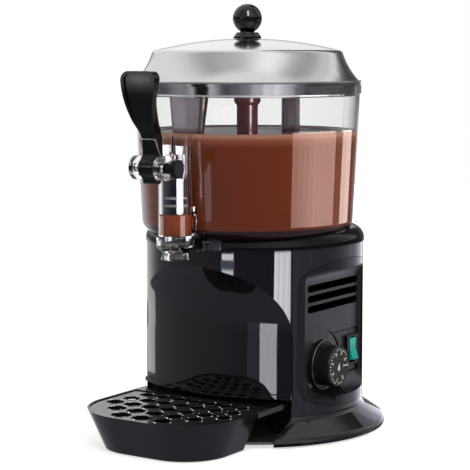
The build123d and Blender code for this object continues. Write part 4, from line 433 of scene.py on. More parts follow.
def lit_green(name):
    """Translucent green rocker with its lamp on, paler where the lamp is behind it."""
    dark, bright, near_lamp = (0.0, 0.235, 0.185), (0.002, 0.3, 0.24), (0.03, 0.38, 0.3)
    mat, tree, shader = material(
        name, bright, 0.12, IOR=1.5, Subsurface_Weight=0.25, Subsurface_Scale=0.004, Emission_Strength=0.25,
    )
    cloud = grain(tree, 160.0, 3.0)
    color = tint(tree, span(tree, cloud, GRAIN_LOW, GRAIN_HIGH), dark, bright)
    color = tint(tree, between(tree, "Z", *ROCKER_LAMP_Z), color, near_lamp)
    paint(tree, shader, color)
    tree.links.new(color, shader.inputs["Emission Color"])
    rough(tree, shader, cloud, 0.1, 0.18)
    bump(tree, shader, grain(tree, 400.0, 1.0), 0.01)
    return mat


def print_ink(name, color):
    """Pad-printed ink, a little broken up."""
    mat, tree, shader = material(name, color, 0.45)
    wear = grain(tree, 900.0, 3.0)
    faded = tuple(part * 0.7 for part in color)
    paint(tree, shader, tint(tree, span(tree, wear, 0.45, 0.8), color, faded))
    rough(tree, shader, wear, 0.4, 0.55)
    bump(tree, shader, wear, 0.01)
    return mat


# Metals by slot: colour, duller colour, lowest and highest roughness, grain per metre, its stretch, its depth
# in millimetres, and how metallic the look is where it isn't fully so.
METALS = {
    "steel": ((0.62, 0.61, 0.6), (0.5, 0.49, 0.48), 0.2, 0.32, 500.0, (1, 1, 0.1), 0.01),
    "zinc_steel": ((0.55, 0.55, 0.53), (0.42, 0.42, 0.4), 0.3, 0.45, 700.0, (1, 1, 1), 0.02),
    "base_steel": ((0.42, 0.42, 0.42), (0.3, 0.3, 0.3), 0.35, 0.5, 260.0, (0.1, 1, 1), 0.02),
    "spring_steel": ((0.66, 0.65, 0.64), (0.5, 0.49, 0.48), 0.15, 0.25, 800.0, (1, 1, 1), 0.006),
    "heater_steel": ((0.32, 0.28, 0.24), (0.18, 0.14, 0.12), 0.4, 0.6, 600.0, (1, 1, 1), 0.03),
    "brass": ((0.62, 0.45, 0.2), (0.42, 0.29, 0.13), 0.25, 0.4, 700.0, (1, 1, 0.15), 0.01),
    "cast_alloy": ((0.4, 0.4, 0.4), (0.3, 0.3, 0.31), 0.45, 0.6, 900.0, (1, 1, 1), 0.06),
    "motor_iron": ((0.1, 0.1, 0.105), (0.06, 0.055, 0.05), 0.4, 0.55, 400.0, (1, 1, 1), 0.05, 0.6),
}
BLACK = (0.0048, 0.0048, 0.0064)
LOOKS = {
    "black_gloss": gloss_plastic("black_gloss_look", BLACK, 0.03, 0.06),
    "black_satin": panel_plastic("black_satin_look"),
    "tray_black": gloss_plastic("tray_black_look", (0.0055, 0.0053, 0.007), 0.10, 0.16),
    "clear_plastic": clear_plastic("clear_plastic_look", (0.985, 0.985, 0.985), 0.02),
    "piston_clear": piston_plastic("piston_clear_look"),
    "lid_steel": spun_steel("lid_steel_look", (0.74, 0.715, 0.735), 0.13, 0.17, BOWL_Y),
    "stirrer_steel": dipped_steel("stirrer_steel_look", (0.52, 0.46, 0.49), (0.15, 0.055, 0.042), 0.45),
    "white_plastic": satin_plastic("white_plastic_look", (0.72, 0.7, 0.66), 0.35, 0.5, 1800.0, 0.02),
    "seal_rubber": soft_rubber("seal_rubber_look", (0.12, 0.118, 0.115)),
    "foot_rubber": soft_rubber("foot_rubber_look", (0.018, 0.018, 0.018)),
    "knob_black": gloss_plastic("knob_black_look", BLACK, 0.05, 0.09),
    "lever_black": satin_plastic("lever_black_look", (0.002, 0.002, 0.0022), 0.14, 0.2, 1400.0, 0.004, 0.2),
    "dial_black": satin_plastic("dial_black_look", (0.009, 0.009, 0.0105), 0.2, 0.3, 1600.0, 0.012),
    "rocker_green": lit_green("rocker_green_look"),
    **{slot: worked_metal(f"{slot}_look", *row) for slot, row in METALS.items()},
}

# The sleeve is of the same steel as the stirrer's frame and wears a thicker film. The collar is less shiny.
OWN_LOOKS = {
    "top_collar": gloss_plastic("top_collar_look", (0.004, 0.0042, 0.006), 0.05, 0.08, 0.2),
    "stirrer_sleeve": filmed("stirrer_sleeve_look", (0.34, 0.085, 0.08), (0.24, 0.05, 0.042)),
}

DRINK_WALL = drink("drink_wall_look", 0.5, 0.0, pale_edge=True)
DRINK_TOP = drink("drink_top_look", 0.06, 0.5)
DRINK_TAP = drink("drink_tap_look", 0.5, 0.0, 0.8)


def dress_frame():
    """Gives each CAD node its own look, or that of the slot that the record names for it."""
    for row in frame["record"]["subparts"]:
        mesh = NODES[row["node"]].data
        mesh.materials.clear()
        mesh.materials.append(OWN_LOOKS.get(row["node"], LOOKS[row["material_slot"]]))


# Pieces that only the scene has.

def add_piece(name, mesh, body):
    """A new object at the origin that rides on a body."""
    obj = bpy.data.objects.new(name, mesh)
    bpy.context.scene.collection.objects.link(obj)
    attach(obj, body)


def drink_piece(name, verts, faces, looks, face_looks=None):
    """A smooth body of drink that rides on the bowl."""
    mesh = bpy.data.meshes.new(name)
    mesh.from_pydata(verts, [], faces)
    for look in looks:
        mesh.materials.append(look)
    if face_looks:
        mesh.polygons.foreach_set("material_index", face_looks)
    mesh.shade_smooth()
    mesh.update()
    add_piece(name, mesh, "bowl")


def small_piece(name, bm, look, body, smooth):
    """Print or trim that rides on a body, smooth or flat shaded."""
    mesh = bpy.data.meshes.new(name)
    bm.to_mesh(mesh)
    bm.free()
    if smooth:
        mesh.shade_smooth()
    mesh.materials.append(look)
    add_piece(name, mesh, body)


def trim_piece(name, bm, look, body, smooth=True):
    """Trim, its faces turned outward."""
    bmesh.ops.recalc_face_normals(bm, faces=bm.faces)
    small_piece(name, bm, look, body, smooth)


def turned(profile, centre_y, steps):
    """Vertices (m) and quads of a closed profile of (radius, height) in mm, turned about a vertical axis."""
    verts = []
    for angle in circle(steps):
        for radius, height in profile:
            verts.append((
                radius * math.sin(angle) * MM,
                (centre_y - radius * math.cos(angle)) * MM,
                height * MM,
            ))
    faces = []
    count = len(profile)
    for step in range(steps):
        here = step * count
        there = (step + 1) % steps * count
        for row in range(count):
            after = (row + 1) % count
            faces.append((here + row, there + row, there + after, here + after))
    return verts, faces


def bowl_wall_r(height):
    """Inner radius of the bowl's wall above its bend, mm."""
    share = (height - BOWL_BEND_Z) / (BOWL_INNER_TOP_Z - BOWL_BEND_Z)
    return BOWL_INNER_LOW_R + share * (BOWL_INNER_TOP_R - BOWL_INNER_LOW_R)


def drink_profile():
    """The drink's outline in the bowl: from the chimney's foot up the wall, and back over its top."""
    wall = [(CHIMNEY_R - SINK_IN, BOWL_FLOOR_Z - SINK_IN), (BOWL_FLAT_R, BOWL_FLOOR_Z - SINK_IN)]
    reach = BOWL_BEND_R + SINK_IN
    for angle in even(0.0, math.pi / 2.0, BEND_STEPS)[1:]:
        wall.append((BOWL_FLAT_R + reach * math.sin(angle), BOWL_BEND_Z - reach * math.cos(angle)))
    for height in even(BOWL_BEND_Z, LEVEL_Z + MENISCUS_H, 4)[1:]:
        wall.append((bowl_wall_r(height) + SINK_IN, height))
    top = [(bowl_wall_r(LEVEL_Z) - out, LEVEL_Z + share * MENISCUS_H) for out, share in MENISCUS]
    top += [(radius, LEVEL_Z) for radius in (*TOP_RINGS, CHIMNEY_R - SINK_IN)]
    return wall, top


def chocolate_in_bowl():
    """The drink: fills the bowl to its level, with a slight climb up the wall and a slow swirl on top."""
    wall, top = drink_profile()
    profile = wall + top
    count = len(profile)
    verts, faces = turned(profile, BOWL_Y, BOWL_STEPS)
    for index, (x, y, z) in enumerate(verts):
        row = index % count
        radius = profile[row][0]
        if row >= len(wall) + STILL_ROWS and radius > CHIMNEY_R:
            angle = 2.0 * math.pi * (index // count) / BOWL_STEPS
            share = min(1.0, (bowl_wall_r(LEVEL_Z) - radius) / SWIRL_MARGIN)
            rise = SWIRL_H * math.sin(2.0 * angle + radius / SWIRL_TWIST) * share
            verts[index] = (x, y, z + rise * MM)
    on_top = [int(index % count >= len(wall) - 1) for index in range(len(faces))]
    drink_piece("chocolate_in_bowl", verts, faces, [DRINK_WALL, DRINK_TOP], on_top)


def chocolate_in_tap():
    """The drink standing in the tap's lower chamber and in the way in from the bowl."""
    low, high = TAP_DRINK_Z
    reach = TAP_BORE_R + SINK_IN
    profile = [
        (TAP_DRINK_CORE, low), (reach - 0.6, low), (reach, low + 0.6),
        (reach, high - 0.5), (reach - 0.8, high), (TAP_DRINK_CORE, high),
    ]
    verts, faces = turned(profile, TAP_Y, TAP_STEPS)
    near = [len(verts) + step for step in range(INLET_STEPS)]
    far = [index + INLET_STEPS for index in near]
    inlet_r = INLET_R + SINK_IN
    behind, inside = INLET_OVERLAP
    for y in (TAP_Y + behind, BOWL_Y - bowl_wall_r(INLET_Z) + inside):
        for angle in circle(INLET_STEPS):
            verts.append((inlet_r * math.sin(angle) * MM, y * MM, (INLET_Z + inlet_r * math.cos(angle)) * MM))
    for step in range(INLET_STEPS):
        after = (step + 1) % INLET_STEPS
        faces.append((near[step], near[after], far[after], far[step]))
    faces += [tuple(reversed(near)), tuple(far)]
    drink_piece("chocolate_in_tap", verts, faces, [DRINK_TAP])


def dial_point(across, out, turn, lift):
    """World place of a point on the dial's face, turn clockwise from the top as seen from outside."""
    angle = math.radians(turn)
    sideways = across * math.cos(angle) + out * math.sin(angle)
    upwards = -across * math.sin(angle) + out * math.cos(angle)
    return Vector(((DIAL_FACE_X + lift) * MM, (DIAL_Y + sideways) * MM, (DIAL_Z + upwards) * MM))


def add_plate(bm, outline, turn):
    """A thin raised plate of ink, its outline given as (across, out) in mm before it is turned."""
    low = [bm.verts.new(dial_point(x, r, turn, -INK_SINK)) for x, r in outline]
    high = [bm.verts.new(dial_point(x, r, turn, INK_T)) for x, r in outline]
    bm.faces.new(high)
    bm.faces.new(list(reversed(low)))
    for index in range(len(outline)):
        after = (index + 1) % len(outline)
        bm.faces.new((low[index], low[after], high[after], high[index]))


def add_bar(bm, bar, turn):
    """A straight bar of ink that points outward, given as half its width, its start and its end."""
    half, start, end = bar
    add_plate(bm, [(-half, start), (half, start), (half, end), (-half, end)], turn)


def add_digit(bm, text, turn):
    """One upright-outward digit, from Blender's built-in font."""
    curve = bpy.data.curves.new("digit", "FONT")
    curve.body = text
    curve.align_x = "CENTER"
    curve.align_y = "CENTER"
    curve.size = DIGIT_SIZE
    curve.extrude = DIGIT_EXTRUDE
    curve.offset = DIGIT_BOLD
    obj = bpy.data.objects.new("digit", curve)
    bpy.context.scene.collection.objects.link(obj)
    mesh = bpy.data.meshes.new_from_object(obj)
    bpy.data.objects.remove(obj)
    bpy.data.curves.remove(curve)
    for vert in mesh.vertices:
        x, y, z = vert.co
        vert.co = dial_point(x, y + DIGIT_R, turn, z)
    bm.from_mesh(mesh)
    bpy.data.meshes.remove(mesh)


def dial_print():
    """Numbers, ticks, a drop and a bar printed on the thermostat knob's face, and one red mark."""
    bm = bmesh.new()
    turns = even(*DIAL_TURNS, DIAL_STEPS)
    for step, turn in enumerate(turns):
        if step % DIAL_MINOR:
            add_bar(bm, TICK, turn)
    for number, turn in enumerate(turns[::DIAL_MINOR]):
        add_digit(bm, str(number), turn)
    for bar in BARS:
        add_bar(bm, bar, BAR_TURN)
    lean = [math.radians(turn) for turn in even(-120.0, 120.0, 12)]
    drop = [(DROP_R * math.sin(turn), -DROP_LOW - DROP_R * math.cos(turn)) for turn in lean]
    add_plate(bm, [*drop, (0.0, DROP_TIP)], DROP_TURN)
    white = print_ink("dial_print_look", (0.78, 0.78, 0.76))
    small_piece("dial_print", bm, white, "dial", smooth=False)
    bm = bmesh.new()
    add_bar(bm, RED_MARK, RED_TURN)
    red = print_ink("dial_red_mark_look", (0.42, 0.03, 0.04))
    small_piece("dial_red_mark", bm, red, "dial", smooth=False)


def add_ring(bm, centre, axis, radius, tube, steps, sides=8):
    """A thin ring in mm about a point, its axis along X or Z."""
    rows = []
    for turn in circle(steps):
        row = []
        for lean in circle(sides):
            out = radius + tube * math.cos(lean)
            if axis == "X":
                offset = Vector((tube * math.sin(lean), out * math.cos(turn), out * math.sin(turn)))
            else:
                offset = Vector((out * math.cos(turn), out * math.sin(turn), tube * math.sin(lean)))
            row.append(bm.verts.new((Vector(centre) + offset) * MM))
        rows.append(row)
    for here, after in zip(rows, rows[1:] + rows[:1]):
        for side in range(sides):
            beside = (side + 1) % sides
            bm.faces.new((here[side], after[side], after[beside], here[beside]))


def dial_rim():
    """A bright bead on the edge of the knob's skirt."""
    bm = bmesh.new()
    centre = (DIAL_SKIRT_X - DIAL_RIM_SINK, DIAL_Y, DIAL_Z)
    add_ring(bm, centre, "X", DIAL_SKIRT_R - DIAL_RIM_SINK, DIAL_RIM_T, 96)
    trim_piece("dial_rim", bm, LOOKS["steel"], "dial")


def lid_bead():
    """A bright bead rolled round the lid's rim."""
    bm = bmesh.new()
    add_ring(bm, (0.0, BOWL_Y, LID_BEAD_Z), "Z", LID_BEAD_R, LID_BEAD_T, 160, 10)
    trim_piece("lid_bead", bm, LOOKS["steel"], "lid")


def paddle_fold():
    """The folded edge of the long paddle, narrower lower down, its steel painted dark as shade under the
    drink's film.
    """
    bm = bmesh.new()
    rings = []
    for height, inner, outer in FOLD_EDGES:
        across = (Vector(outer) - Vector(inner)).normalized() * (FOLD_T / 2)
        side = Vector((across.y, -across.x))
        corners = (Vector(inner) + side, Vector(outer) + side, Vector(outer) - side, Vector(inner) - side)
        rings.append([bm.verts.new(Vector((corner.x, corner.y, height)) * MM) for corner in corners])
    low, high = rings
    for index in range(4):
        after = (index + 1) % 4
        bm.faces.new((low[index], low[after], high[after], high[index]))
    bm.faces.new(low)
    bm.faces.new(high)
    # Painted shade: the fold's steel is far darker than the frame's; the brown film over it is the drink's.
    look = dipped_steel("paddle_fold_shade_look", (0.16, 0.11, 0.12), (0.1, 0.045, 0.04), 0.6)
    trim_piece("paddle_fold", bm, look, "stirrer", smooth=False)


def plate_seal():
    """A thin near-black strip in the step round the switch plate: a painted shadow line."""
    bm = bmesh.new()
    (low, high), rear = PLATE_Z, PLATE_REAR_Y
    bars = (
        ((SHADOW_LINE_FRONT_Y, high - SHADOW_LINE_W), (rear, high)),
        ((rear - SHADOW_LINE_W, low), (rear, high)),
        ((SHADOW_LINE_LOW_Y, low), (rear, low + SHADOW_LINE_W)),
    )
    for (y0, z0), (y1, z1) in bars:
        verts = [
            bm.verts.new(Vector((x, y, z)) * MM)
            for x in SHADOW_LINE_X for y, z in ((y0, z0), (y1, z0), (y1, z1), (y0, z1))
        ]
        for face in ((0, 3, 2, 1), (4, 5, 6, 7), (0, 1, 5, 4), (1, 2, 6, 5), (2, 3, 7, 6), (3, 0, 4, 7)):
            bm.faces.new([verts[index] for index in face])
    # Painted shadow: a matt black strip where the step's shadow line falls.
    look = gloss_plastic("plate_shadow_line_look", (0.0012, 0.0012, 0.0014), 0.5, 0.6, 0.1)
    trim_piece("plate_seal", bm, look, "base", smooth=False)


def grid_rims():
    """A polished rim round each hole of the drip grid."""
    bm = bmesh.new()
    for row, (count, back) in enumerate(GRID_ROWS):
        scale = GRID_TAPER**row
        for step in range(-count, count + 1):
            centre = (step * GRID_PITCH * scale, back, GRID_TOP_Z - HOLE_RIM_SINK)
            add_ring(bm, centre, "Z", GRID_HOLE_R * scale + HOLE_RIM_OUT, HOLE_RIM_T, 32)
    trim_piece("grid_rims", bm, LOOKS["black_gloss"], "grid")


# The studio.

FLOOR_R = 3.0
FLOOR_LIFT = 0.6  # the glow of the floor near the object, where the shadow is
FLOOR_FADE = (0.3, 0.9)  # the distances, in metres, between which that glow rises to white
MIRRORED = 0.5  # a ray that was mirrored before has a glossy depth above this


def studio_floor():
    """A pale floor that keeps the shadow and shows white elsewhere. Rays mirrored before pass through it."""
    mesh = bpy.data.meshes.new("floor")
    bm = bmesh.new()
    bmesh.ops.create_circle(bm, cap_ends=True, segments=96, radius=FLOOR_R)
    bm.to_mesh(mesh)
    bm.free()
    mat, tree, shader = material("floor_look", (0.8, 0.8, 0.8), 0.9, Specular_IOR_Level=0.0)
    mottle = grain(tree, 8.0, 2.0)
    paint(tree, shader, tint(tree, mottle, (0.79, 0.79, 0.79), (0.81, 0.81, 0.81)))
    light = tree.nodes.new("ShaderNodeLightPath")
    seen = math_node(tree, "MAXIMUM", light.outputs["Is Camera Ray"], light.outputs["Is Transmission Ray"])
    lift = span(tree, ring_radius(tree, 0.0), *FLOOR_FADE, FLOOR_LIFT, 1.0, smooth=True)
    shader.inputs["Emission Color"].default_value = (*WHITE, 1.0)
    tree.links.new(math_node(tree, "MULTIPLY", seen, lift), shader.inputs["Emission Strength"])
    straight = math_node(tree, "LESS_THAN", light.outputs["Glossy Depth"], MIRRORED)
    tree.links.new(straight, shader.inputs["Alpha"])
    mesh.materials.append(mat)
    floor = bpy.data.objects.new("floor", mesh)
    bpy.context.scene.collection.objects.link(floor)
    floor.visible_glossy = False


def direction(azimuth, elevation):
    """A unit vector, by degrees from the front towards +X and degrees above the horizon."""
    turn = math.radians(azimuth)
    tilt = math.radians(elevation)
    return Vector((math.sin(turn) * math.cos(tilt), -math.cos(turn) * math.cos(tilt), math.sin(tilt)))


def rectangle_lamp(name, width, height):
    """A rectangular lamp that the camera doesn't see."""
    lamp = bpy.data.lights.new(name, "AREA")
    lamp.shape = "RECTANGLE"
    lamp.size = width
    lamp.size_y = height
    obj = bpy.data.objects.new(name, lamp)
    obj.visible_camera = False
    bpy.context.scene.collection.objects.link(obj)
    return obj


def panel_lamp(name, shown_on, centre, across, outward, width, height, glow, color, spread):
    """A soft panel that only the named pieces mirror. It lies along across and looks back against outward."""
    obj = rectangle_lamp(name, width, height)
    half = math.radians(spread) / 2
    obj.data.color = color
    obj.data.spread = 2 * half
    obj.data.energy = glow * math.pi * width * height * (1.0 - half / math.tan(half))
    upward = outward.cross(across).normalized()
    facing = across.cross(upward).normalized()
    obj.matrix_world = Matrix((across.normalized(), upward, facing)).transposed().to_4x4()
    obj.location = centre
    obj.visible_diffuse = False
    shown = bpy.data.collections.new(name)
    for piece in shown_on:
        shown.objects.link(NODES[piece] if piece in NODES else bpy.data.objects[piece])
    obj.light_linking.receiver_collection = shown


def mirrored_place(wall, turn, height, gap):
    """The place, gap metres off a round wall, that the camera sees mirrored in it at a turn and a height.

    The turn is in degrees from the front, and the height in mm.
    """
    centre_y, (low_z, low_r), (high_z, high_r) = wall
    slope = (high_r - low_r) / (high_z - low_z)
    radius = low_r + (height - low_z) * slope
    side = math.sin(math.radians(turn))
    front = math.cos(math.radians(turn))
    point = Vector((radius * side, centre_y - radius * front, height)) * MM
    normal = Vector((side, -front, -slope)).normalized()
    ray = (point - Vector(CAMERA_AT)).normalized().reflect(normal)
    return point + ray * gap


def mirror_lamps(name, shown_on, wall, turns, heights, gap, glows, color=(0.95, 0.96, 1.0), spread=180.0):
    """Panels, gap metres off a wall, that the named pieces mirror between the wall's turns and heights.

    There is a lamp between each turn and the next, with a glow of its own.
    """
    low, high = heights
    height = (low + high) / 2
    for step, glow in enumerate(glows):
        left = mirrored_place(wall, turns[step], height, gap)
        right = mirrored_place(wall, turns[step + 1], height, gap)
        turn = (turns[step] + turns[step + 1]) / 2
        rise = mirrored_place(wall, turn, high, gap) - mirrored_place(wall, turn, low, gap)
        outward = mirrored_place(wall, turn, height, gap) - mirrored_place(wall, turn, height, 0.0)
        panel_lamp(
            f"{name}_{step}", shown_on, (left + right) / 2, right - left, outward, (right - left).length,
            rise.length, glow, color, spread,
        )


def sky_lamp(name, shown_on, aim, azimuth, elevation, distance, width, height, glow):
    """A panel in a direction from a point on the object, aim in mm."""
    outward = direction(azimuth, elevation)
    centre = Vector(aim) * MM + outward * distance
    across = direction(azimuth + 90.0, 0.0)
    panel_lamp(name, shown_on, centre, across, outward, width, height, glow, WHITE, 180.0)


def housing_panels():
    """Strip lights and windows that show in the polished housing and its side panels."""
    cool = (0.66, 0.77, 1.0)
    housing = ("housing",)
    strip = even(42.6, 51.0, 3)
    mirror_lamps("strip_high", housing, BODY_WALL, strip, (120.0, 183.0), 0.29, (15.5,) * 3, spread=40.0)
    mirror_lamps("strip_low", housing, BODY_WALL, strip, (98.0, 120.0), 0.29, (13.0,) * 3, spread=40.0)
    mirror_lamps("window_high", housing, BODY_WALL, (16.2, 22.2), (175.0, 181.0), 0.2, (13.0,))
    mirror_lamps("window_low", housing, BODY_WALL, (16.2, 22.2), (160.0, 165.5), 0.2, (11.0,))
    mirror_lamps("window_between", housing, BODY_WALL, (15.6, 22.6), (166.0, 174.5), 0.22, (1.4,), cool)
    mirror_lamps("front", housing, NICHE_WALL, even(20.8, 26.6, 2), (36.0, 104.0), 0.4, (7.2, 7.2))
    mirror_lamps("front_dim", housing, NICHE_WALL, (16.4, 20.4), (36.0, 101.0), 0.4, (0.4,), cool)
    mirror_lamps("left", housing, NICHE_WALL, (-31.0, -25.4), (52.0, 128.0), 0.4, (2.2,))
    mirror_lamps(
        "right", ("housing", "control_panel", "vent_panel"), BODY_WALL, even(52.0, 112.0, 15), (22.0, 184.0),
        0.2, (0.5, 0.42, 0.42, 0.34, 0.24, 0.2, 0.2, 0.22, 0.3, 0.5, 0.75, 1.2, 1.8, 2.2, 2.6),
        (0.86, 0.86, 1.0), 110.0,
    )


# Panels in the lever, brighter towards its top: low and high height in millimetres, and glow.
LEVER_GLOWS = ((296.0, 314.0, 1.2), (314.0, 330.0, 3.4), (330.0, 348.0, 6.4), (348.0, 384.0, 9.0))


def upper_panels():
    """Panels that show in the bowl, the sleeve, the tap, its lever, the knob, the lid's rim and the grid."""
    bowl, tap, drink_heights = ("bowl",), ("tap_body",), (200.0, 294.0)
    mirror_lamps("streak", bowl, BOWL_WALL, (8.4, 14.6), (212.0, 266.0), 0.2, (1.25,), WHITE, 60.0)
    mirror_lamps(
        "broad", bowl, BOWL_WALL, even(56.0, 83.9, 9), drink_heights, 0.2,
        (5.2, 6.2, 7.0, 8.0, 8.6, 8.2, 7.4, 6.8, 6.2), (1.0, 0.72, 0.62), 60.0,
    )
    mirror_lamps(
        "edge", bowl, BOWL_WALL, even(88.8, 100.8, 4), drink_heights, 0.2,
        (6.0, 7.0, 7.0, 6.0), (1.0, 0.8, 0.72), 60.0,
    )
    mirror_lamps("sleeve", ("stirrer_sleeve",), SLEEVE_WALL, (47.0, 57.0), (296.0, 334.0), 0.07, (60.0,))
    mirror_lamps("piston", ("tap_piston", *tap), PISTON_WALL, (42.0, 66.0), (221.0, 283.0), 0.12, (13.0,))
    mirror_lamps("tap_left", tap, TAP_WALL, (-36.0, -8.0), (200.0, 219.0), 0.12, (3.6,), (1.0, 0.9, 0.86))
    mirror_lamps("tap_right", tap, TAP_WALL, (54.0, 72.0), (200.0, 219.0), 0.12, (6.0,), (1.0, 0.92, 0.88))
    lever, face_turns = ("tap_lever",), (-0.12, 0.14)
    for low, high, glow in LEVER_GLOWS:
        mirror_lamps(f"lever_{low:.0f}", lever, LEVER_WALL, face_turns, (low, high), 0.3, (glow,), WHITE)
    sky_lamp(
        "pin", ("tap_pin",), (40.0, TAP_Y, 245.0), azimuth=146.0, elevation=-4.6, distance=0.6,
        width=0.3, height=0.3, glow=0.5,
    )
    sky_lamp(
        "knob", ("lid_knob",), (0.0, BOWL_Y, 400.6), azimuth=40.0, elevation=40.0, distance=1.0,
        width=0.22, height=0.7, glow=16.0,
    )
    rim, rim_heights = ("lid_shell", "lid_bead", "bowl"), (312.0, 352.0)
    mirror_lamps(
        "rim", rim, SKIRT_WALL, even(24.0, 62.0, 7), rim_heights, 0.3,
        (0.07, 0.2, 0.55, 0.95, 1.05, 0.62, 0.13), spread=40.0,
    )
    mirror_lamps("rim_left", rim, SKIRT_WALL, (-14.0, 4.0), rim_heights, 0.3, (0.2,), spread=40.0)
    for azimuth in (150.0, 205.0, 265.0):
        sky_lamp(
            f"sparkle_{azimuth:.0f}", ("grid_rims",), (0.0, -110.0, GRID_TOP_Z), azimuth,
            elevation=42.0, distance=1.0, width=0.3, height=0.3, glow=60.0,
        )


def grey(level, blue=1.0):
    """A grey, or a cool one."""
    return (level, level, level * blue)


# What reflections see around the studio, by azimuth: below the horizon, about it, and higher.
LOW_STOPS = (
    (-180.0, grey(0.1)), (-152.0, grey(0.6)), (-140.0, grey(1.05)), (-125.0, grey(1.05, 1.04)),
    (-108.0, grey(1.0, 1.06)), (-97.0, grey(0.6, 1.06)), (-88.0, grey(0.38, 1.1)), (-60.0, grey(0.34, 1.12)),
    (-20.0, grey(0.28, 1.15)), (5.0, grey(0.13, 1.5)), (48.0, grey(0.1, 1.6)), (80.0, grey(0.1, 1.4)),
    (105.0, grey(0.14, 1.2)), (128.0, grey(0.3, 1.12)), (146.0, grey(0.5)), (158.0, grey(0.3)),
    (165.0, grey(0.1)), (180.0, grey(0.1)),
)
RIM_STOPS = (
    (-180.0, grey(0.12)), (-140.0, grey(0.3)), (-110.0, grey(0.3)), (-80.0, grey(0.05, 1.2)),
    (-31.0, grey(0.04, 1.2)), (-24.0, grey(0.66)), (-4.0, grey(0.66)), (8.0, grey(0.04, 1.2)),
    (130.0, grey(0.02, 1.2)), (150.0, grey(0.02)), (160.0, grey(0.04)), (172.0, grey(0.08)),
    (180.0, grey(0.12)),
)
HIGH_STOPS = (
    (-180.0, grey(0.06)), (-160.0, grey(0.08)), (-153.0, grey(1.0)), (-140.0, grey(1.08)),
    (-110.0, grey(0.86)), (-79.0, grey(0.92)), (-57.0, grey(0.8)), (-39.0, grey(0.57)), (-23.0, grey(0.44)),
    (-8.0, grey(0.53)), (13.0, grey(0.58)), (27.0, grey(0.66)), (45.0, grey(0.95)), (58.0, grey(1.12)),
    (70.0, grey(1.14)), (82.0, grey(0.96)), (96.0, grey(0.62)), (108.0, grey(0.47)), (119.0, grey(0.42)),
    (130.0, grey(0.5)), (143.0, grey(0.72)), (150.0, grey(0.66)), (158.0, grey(0.9)), (165.0, grey(0.8)),
    (172.0, grey(0.16)), (180.0, grey(0.06)),
)
FLOOR_GLOW = (0.33, 0.32, 0.37)
CEILING_GLOW = (0.9, 0.9, 0.9)
ROOM_LIGHT = (0.5, 0.5, 0.5)

# Where one band of the studio turns into the next, in degrees above the horizon.
FLOOR_TO_LOW = (-28.0, -14.0)
LOW_TO_RIM = (-3.2, -2.0)
RIM_TO_HIGH = (4.0, 13.0)
HIGH_TO_CEILING = (58.0, 75.0)


def ramp(tree, factor, stops):
    """A colour ramp over azimuth stops, in degrees from the front towards +X."""
    node = tree.nodes.new("ShaderNodeValToRGB")
    tree.links.new(factor, node.inputs["Fac"])
    elements = node.color_ramp.elements
    while len(elements) < len(stops):
        elements.new(0.5)
    for element, (azimuth, color) in zip(elements, stops):
        element.position = (azimuth + 180.0) / 360.0
        element.color = (*color, 1.0)
    return node.outputs["Color"]


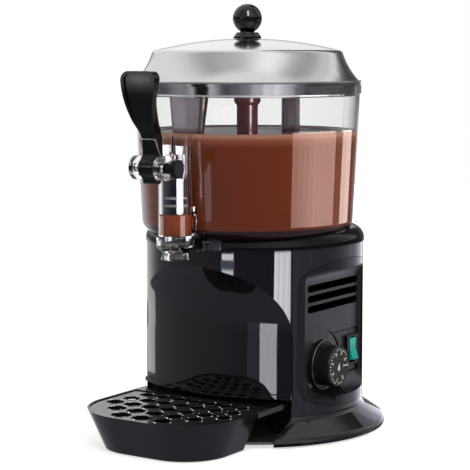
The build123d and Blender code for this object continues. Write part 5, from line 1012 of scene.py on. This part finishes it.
def studio_world():
    """White for the camera and through clear parts, light and dark bands in mirrors, plain light else."""
    world = bpy.data.worlds.new("studio")
    bpy.context.scene.world = world
    world.use_nodes = True
    tree = world.node_tree
    tree.nodes.clear()
    coords = tree.nodes.new("ShaderNodeTexCoord")
    split = tree.nodes.new("ShaderNodeSeparateXYZ")
    tree.links.new(coords.outputs["Generated"], split.inputs["Vector"])
    forward = math_node(tree, "MULTIPLY", split.outputs["Y"], -1.0)
    azimuth = math_node(tree, "ARCTAN2", split.outputs["X"], forward)
    around = span(tree, azimuth, -math.pi, math.pi)

    def above(edge, color_low, color_high):
        """One colour below an edge and another above it."""
        start, end = (math.sin(math.radians(angle)) for angle in edge)
        return tint(tree, span(tree, split.outputs["Z"], start, end, smooth=True), color_low, color_high)

    walls = above(LOW_TO_RIM, ramp(tree, around, LOW_STOPS), ramp(tree, around, RIM_STOPS))
    walls = above(RIM_TO_HIGH, walls, ramp(tree, around, HIGH_STOPS))
    walls = above(HIGH_TO_CEILING, walls, CEILING_GLOW)
    mirrored = above(FLOOR_TO_LOW, FLOOR_GLOW, walls)

    light = tree.nodes.new("ShaderNodeLightPath")
    seen = math_node(tree, "MAXIMUM", light.outputs["Is Camera Ray"], light.outputs["Is Transmission Ray"])
    straight = math_node(tree, "LESS_THAN", light.outputs["Glossy Depth"], MIRRORED)
    seen = math_node(tree, "MULTIPLY", seen, straight)
    once_mirrored = math_node(tree, "GREATER_THAN", light.outputs["Glossy Depth"], MIRRORED)
    in_mirror = math_node(tree, "MAXIMUM", light.outputs["Is Glossy Ray"], once_mirrored)
    color = tint(tree, in_mirror, ROOM_LIGHT, mirrored)
    color = tint(tree, seen, color, WHITE)
    background = tree.nodes.new("ShaderNodeBackground")
    tree.links.new(color, background.inputs["Color"])
    output = tree.nodes.new("ShaderNodeOutputWorld")
    tree.links.new(background.outputs["Background"], output.inputs["Surface"])


OBJECT_MIDDLE = (0.0, 0.02, 0.2)


def area_lamp(name, azimuth, elevation, distance, width, height, power):
    """A soft lamp that looks at the middle of the object and doesn't show in reflections."""
    out = direction(azimuth, elevation)
    obj = rectangle_lamp(name, width, height)
    obj.data.energy = power
    obj.location = Vector(OBJECT_MIDDLE) + out * distance
    obj.rotation_euler = out.to_track_quat("Z", "Y").to_euler()
    obj.visible_glossy = False


def studio_lamps():
    """One key above the camera, a wide one overhead and a fill from the right."""
    area_lamp("key", azimuth=43.0, elevation=48.0, distance=1.7, width=0.35, height=0.8, power=9.0)
    area_lamp("overhead", azimuth=0.0, elevation=84.0, distance=1.6, width=1.8, height=1.8, power=7.0)
    area_lamp("fill", azimuth=110.0, elevation=25.0, distance=1.6, width=1.0, height=1.0, power=4.0)


def studio_camera():
    """The camera at the photograph's viewing angle."""
    data = bpy.data.cameras.new("camera")
    data.lens = CAMERA_LENS
    data.sensor_width = CAMERA_SENSOR
    camera = bpy.data.objects.new("camera", data)
    camera.location = CAMERA_AT
    camera.rotation_euler = (math.radians(90.0 - CAMERA_TILT_DOWN), 0.0, math.radians(CAMERA_YAW))
    bpy.context.scene.collection.objects.link(camera)
    bpy.context.scene.camera = camera


dress_frame()
chocolate_in_bowl()
chocolate_in_tap()
dial_print()
dial_rim()
lid_bead()
paddle_fold()
plate_seal()
grid_rims()
studio_floor()
housing_panels()
upper_panels()
studio_world()
studio_lamps()
studio_camera()
bpy.context.scene.view_settings.view_transform = "Standard"
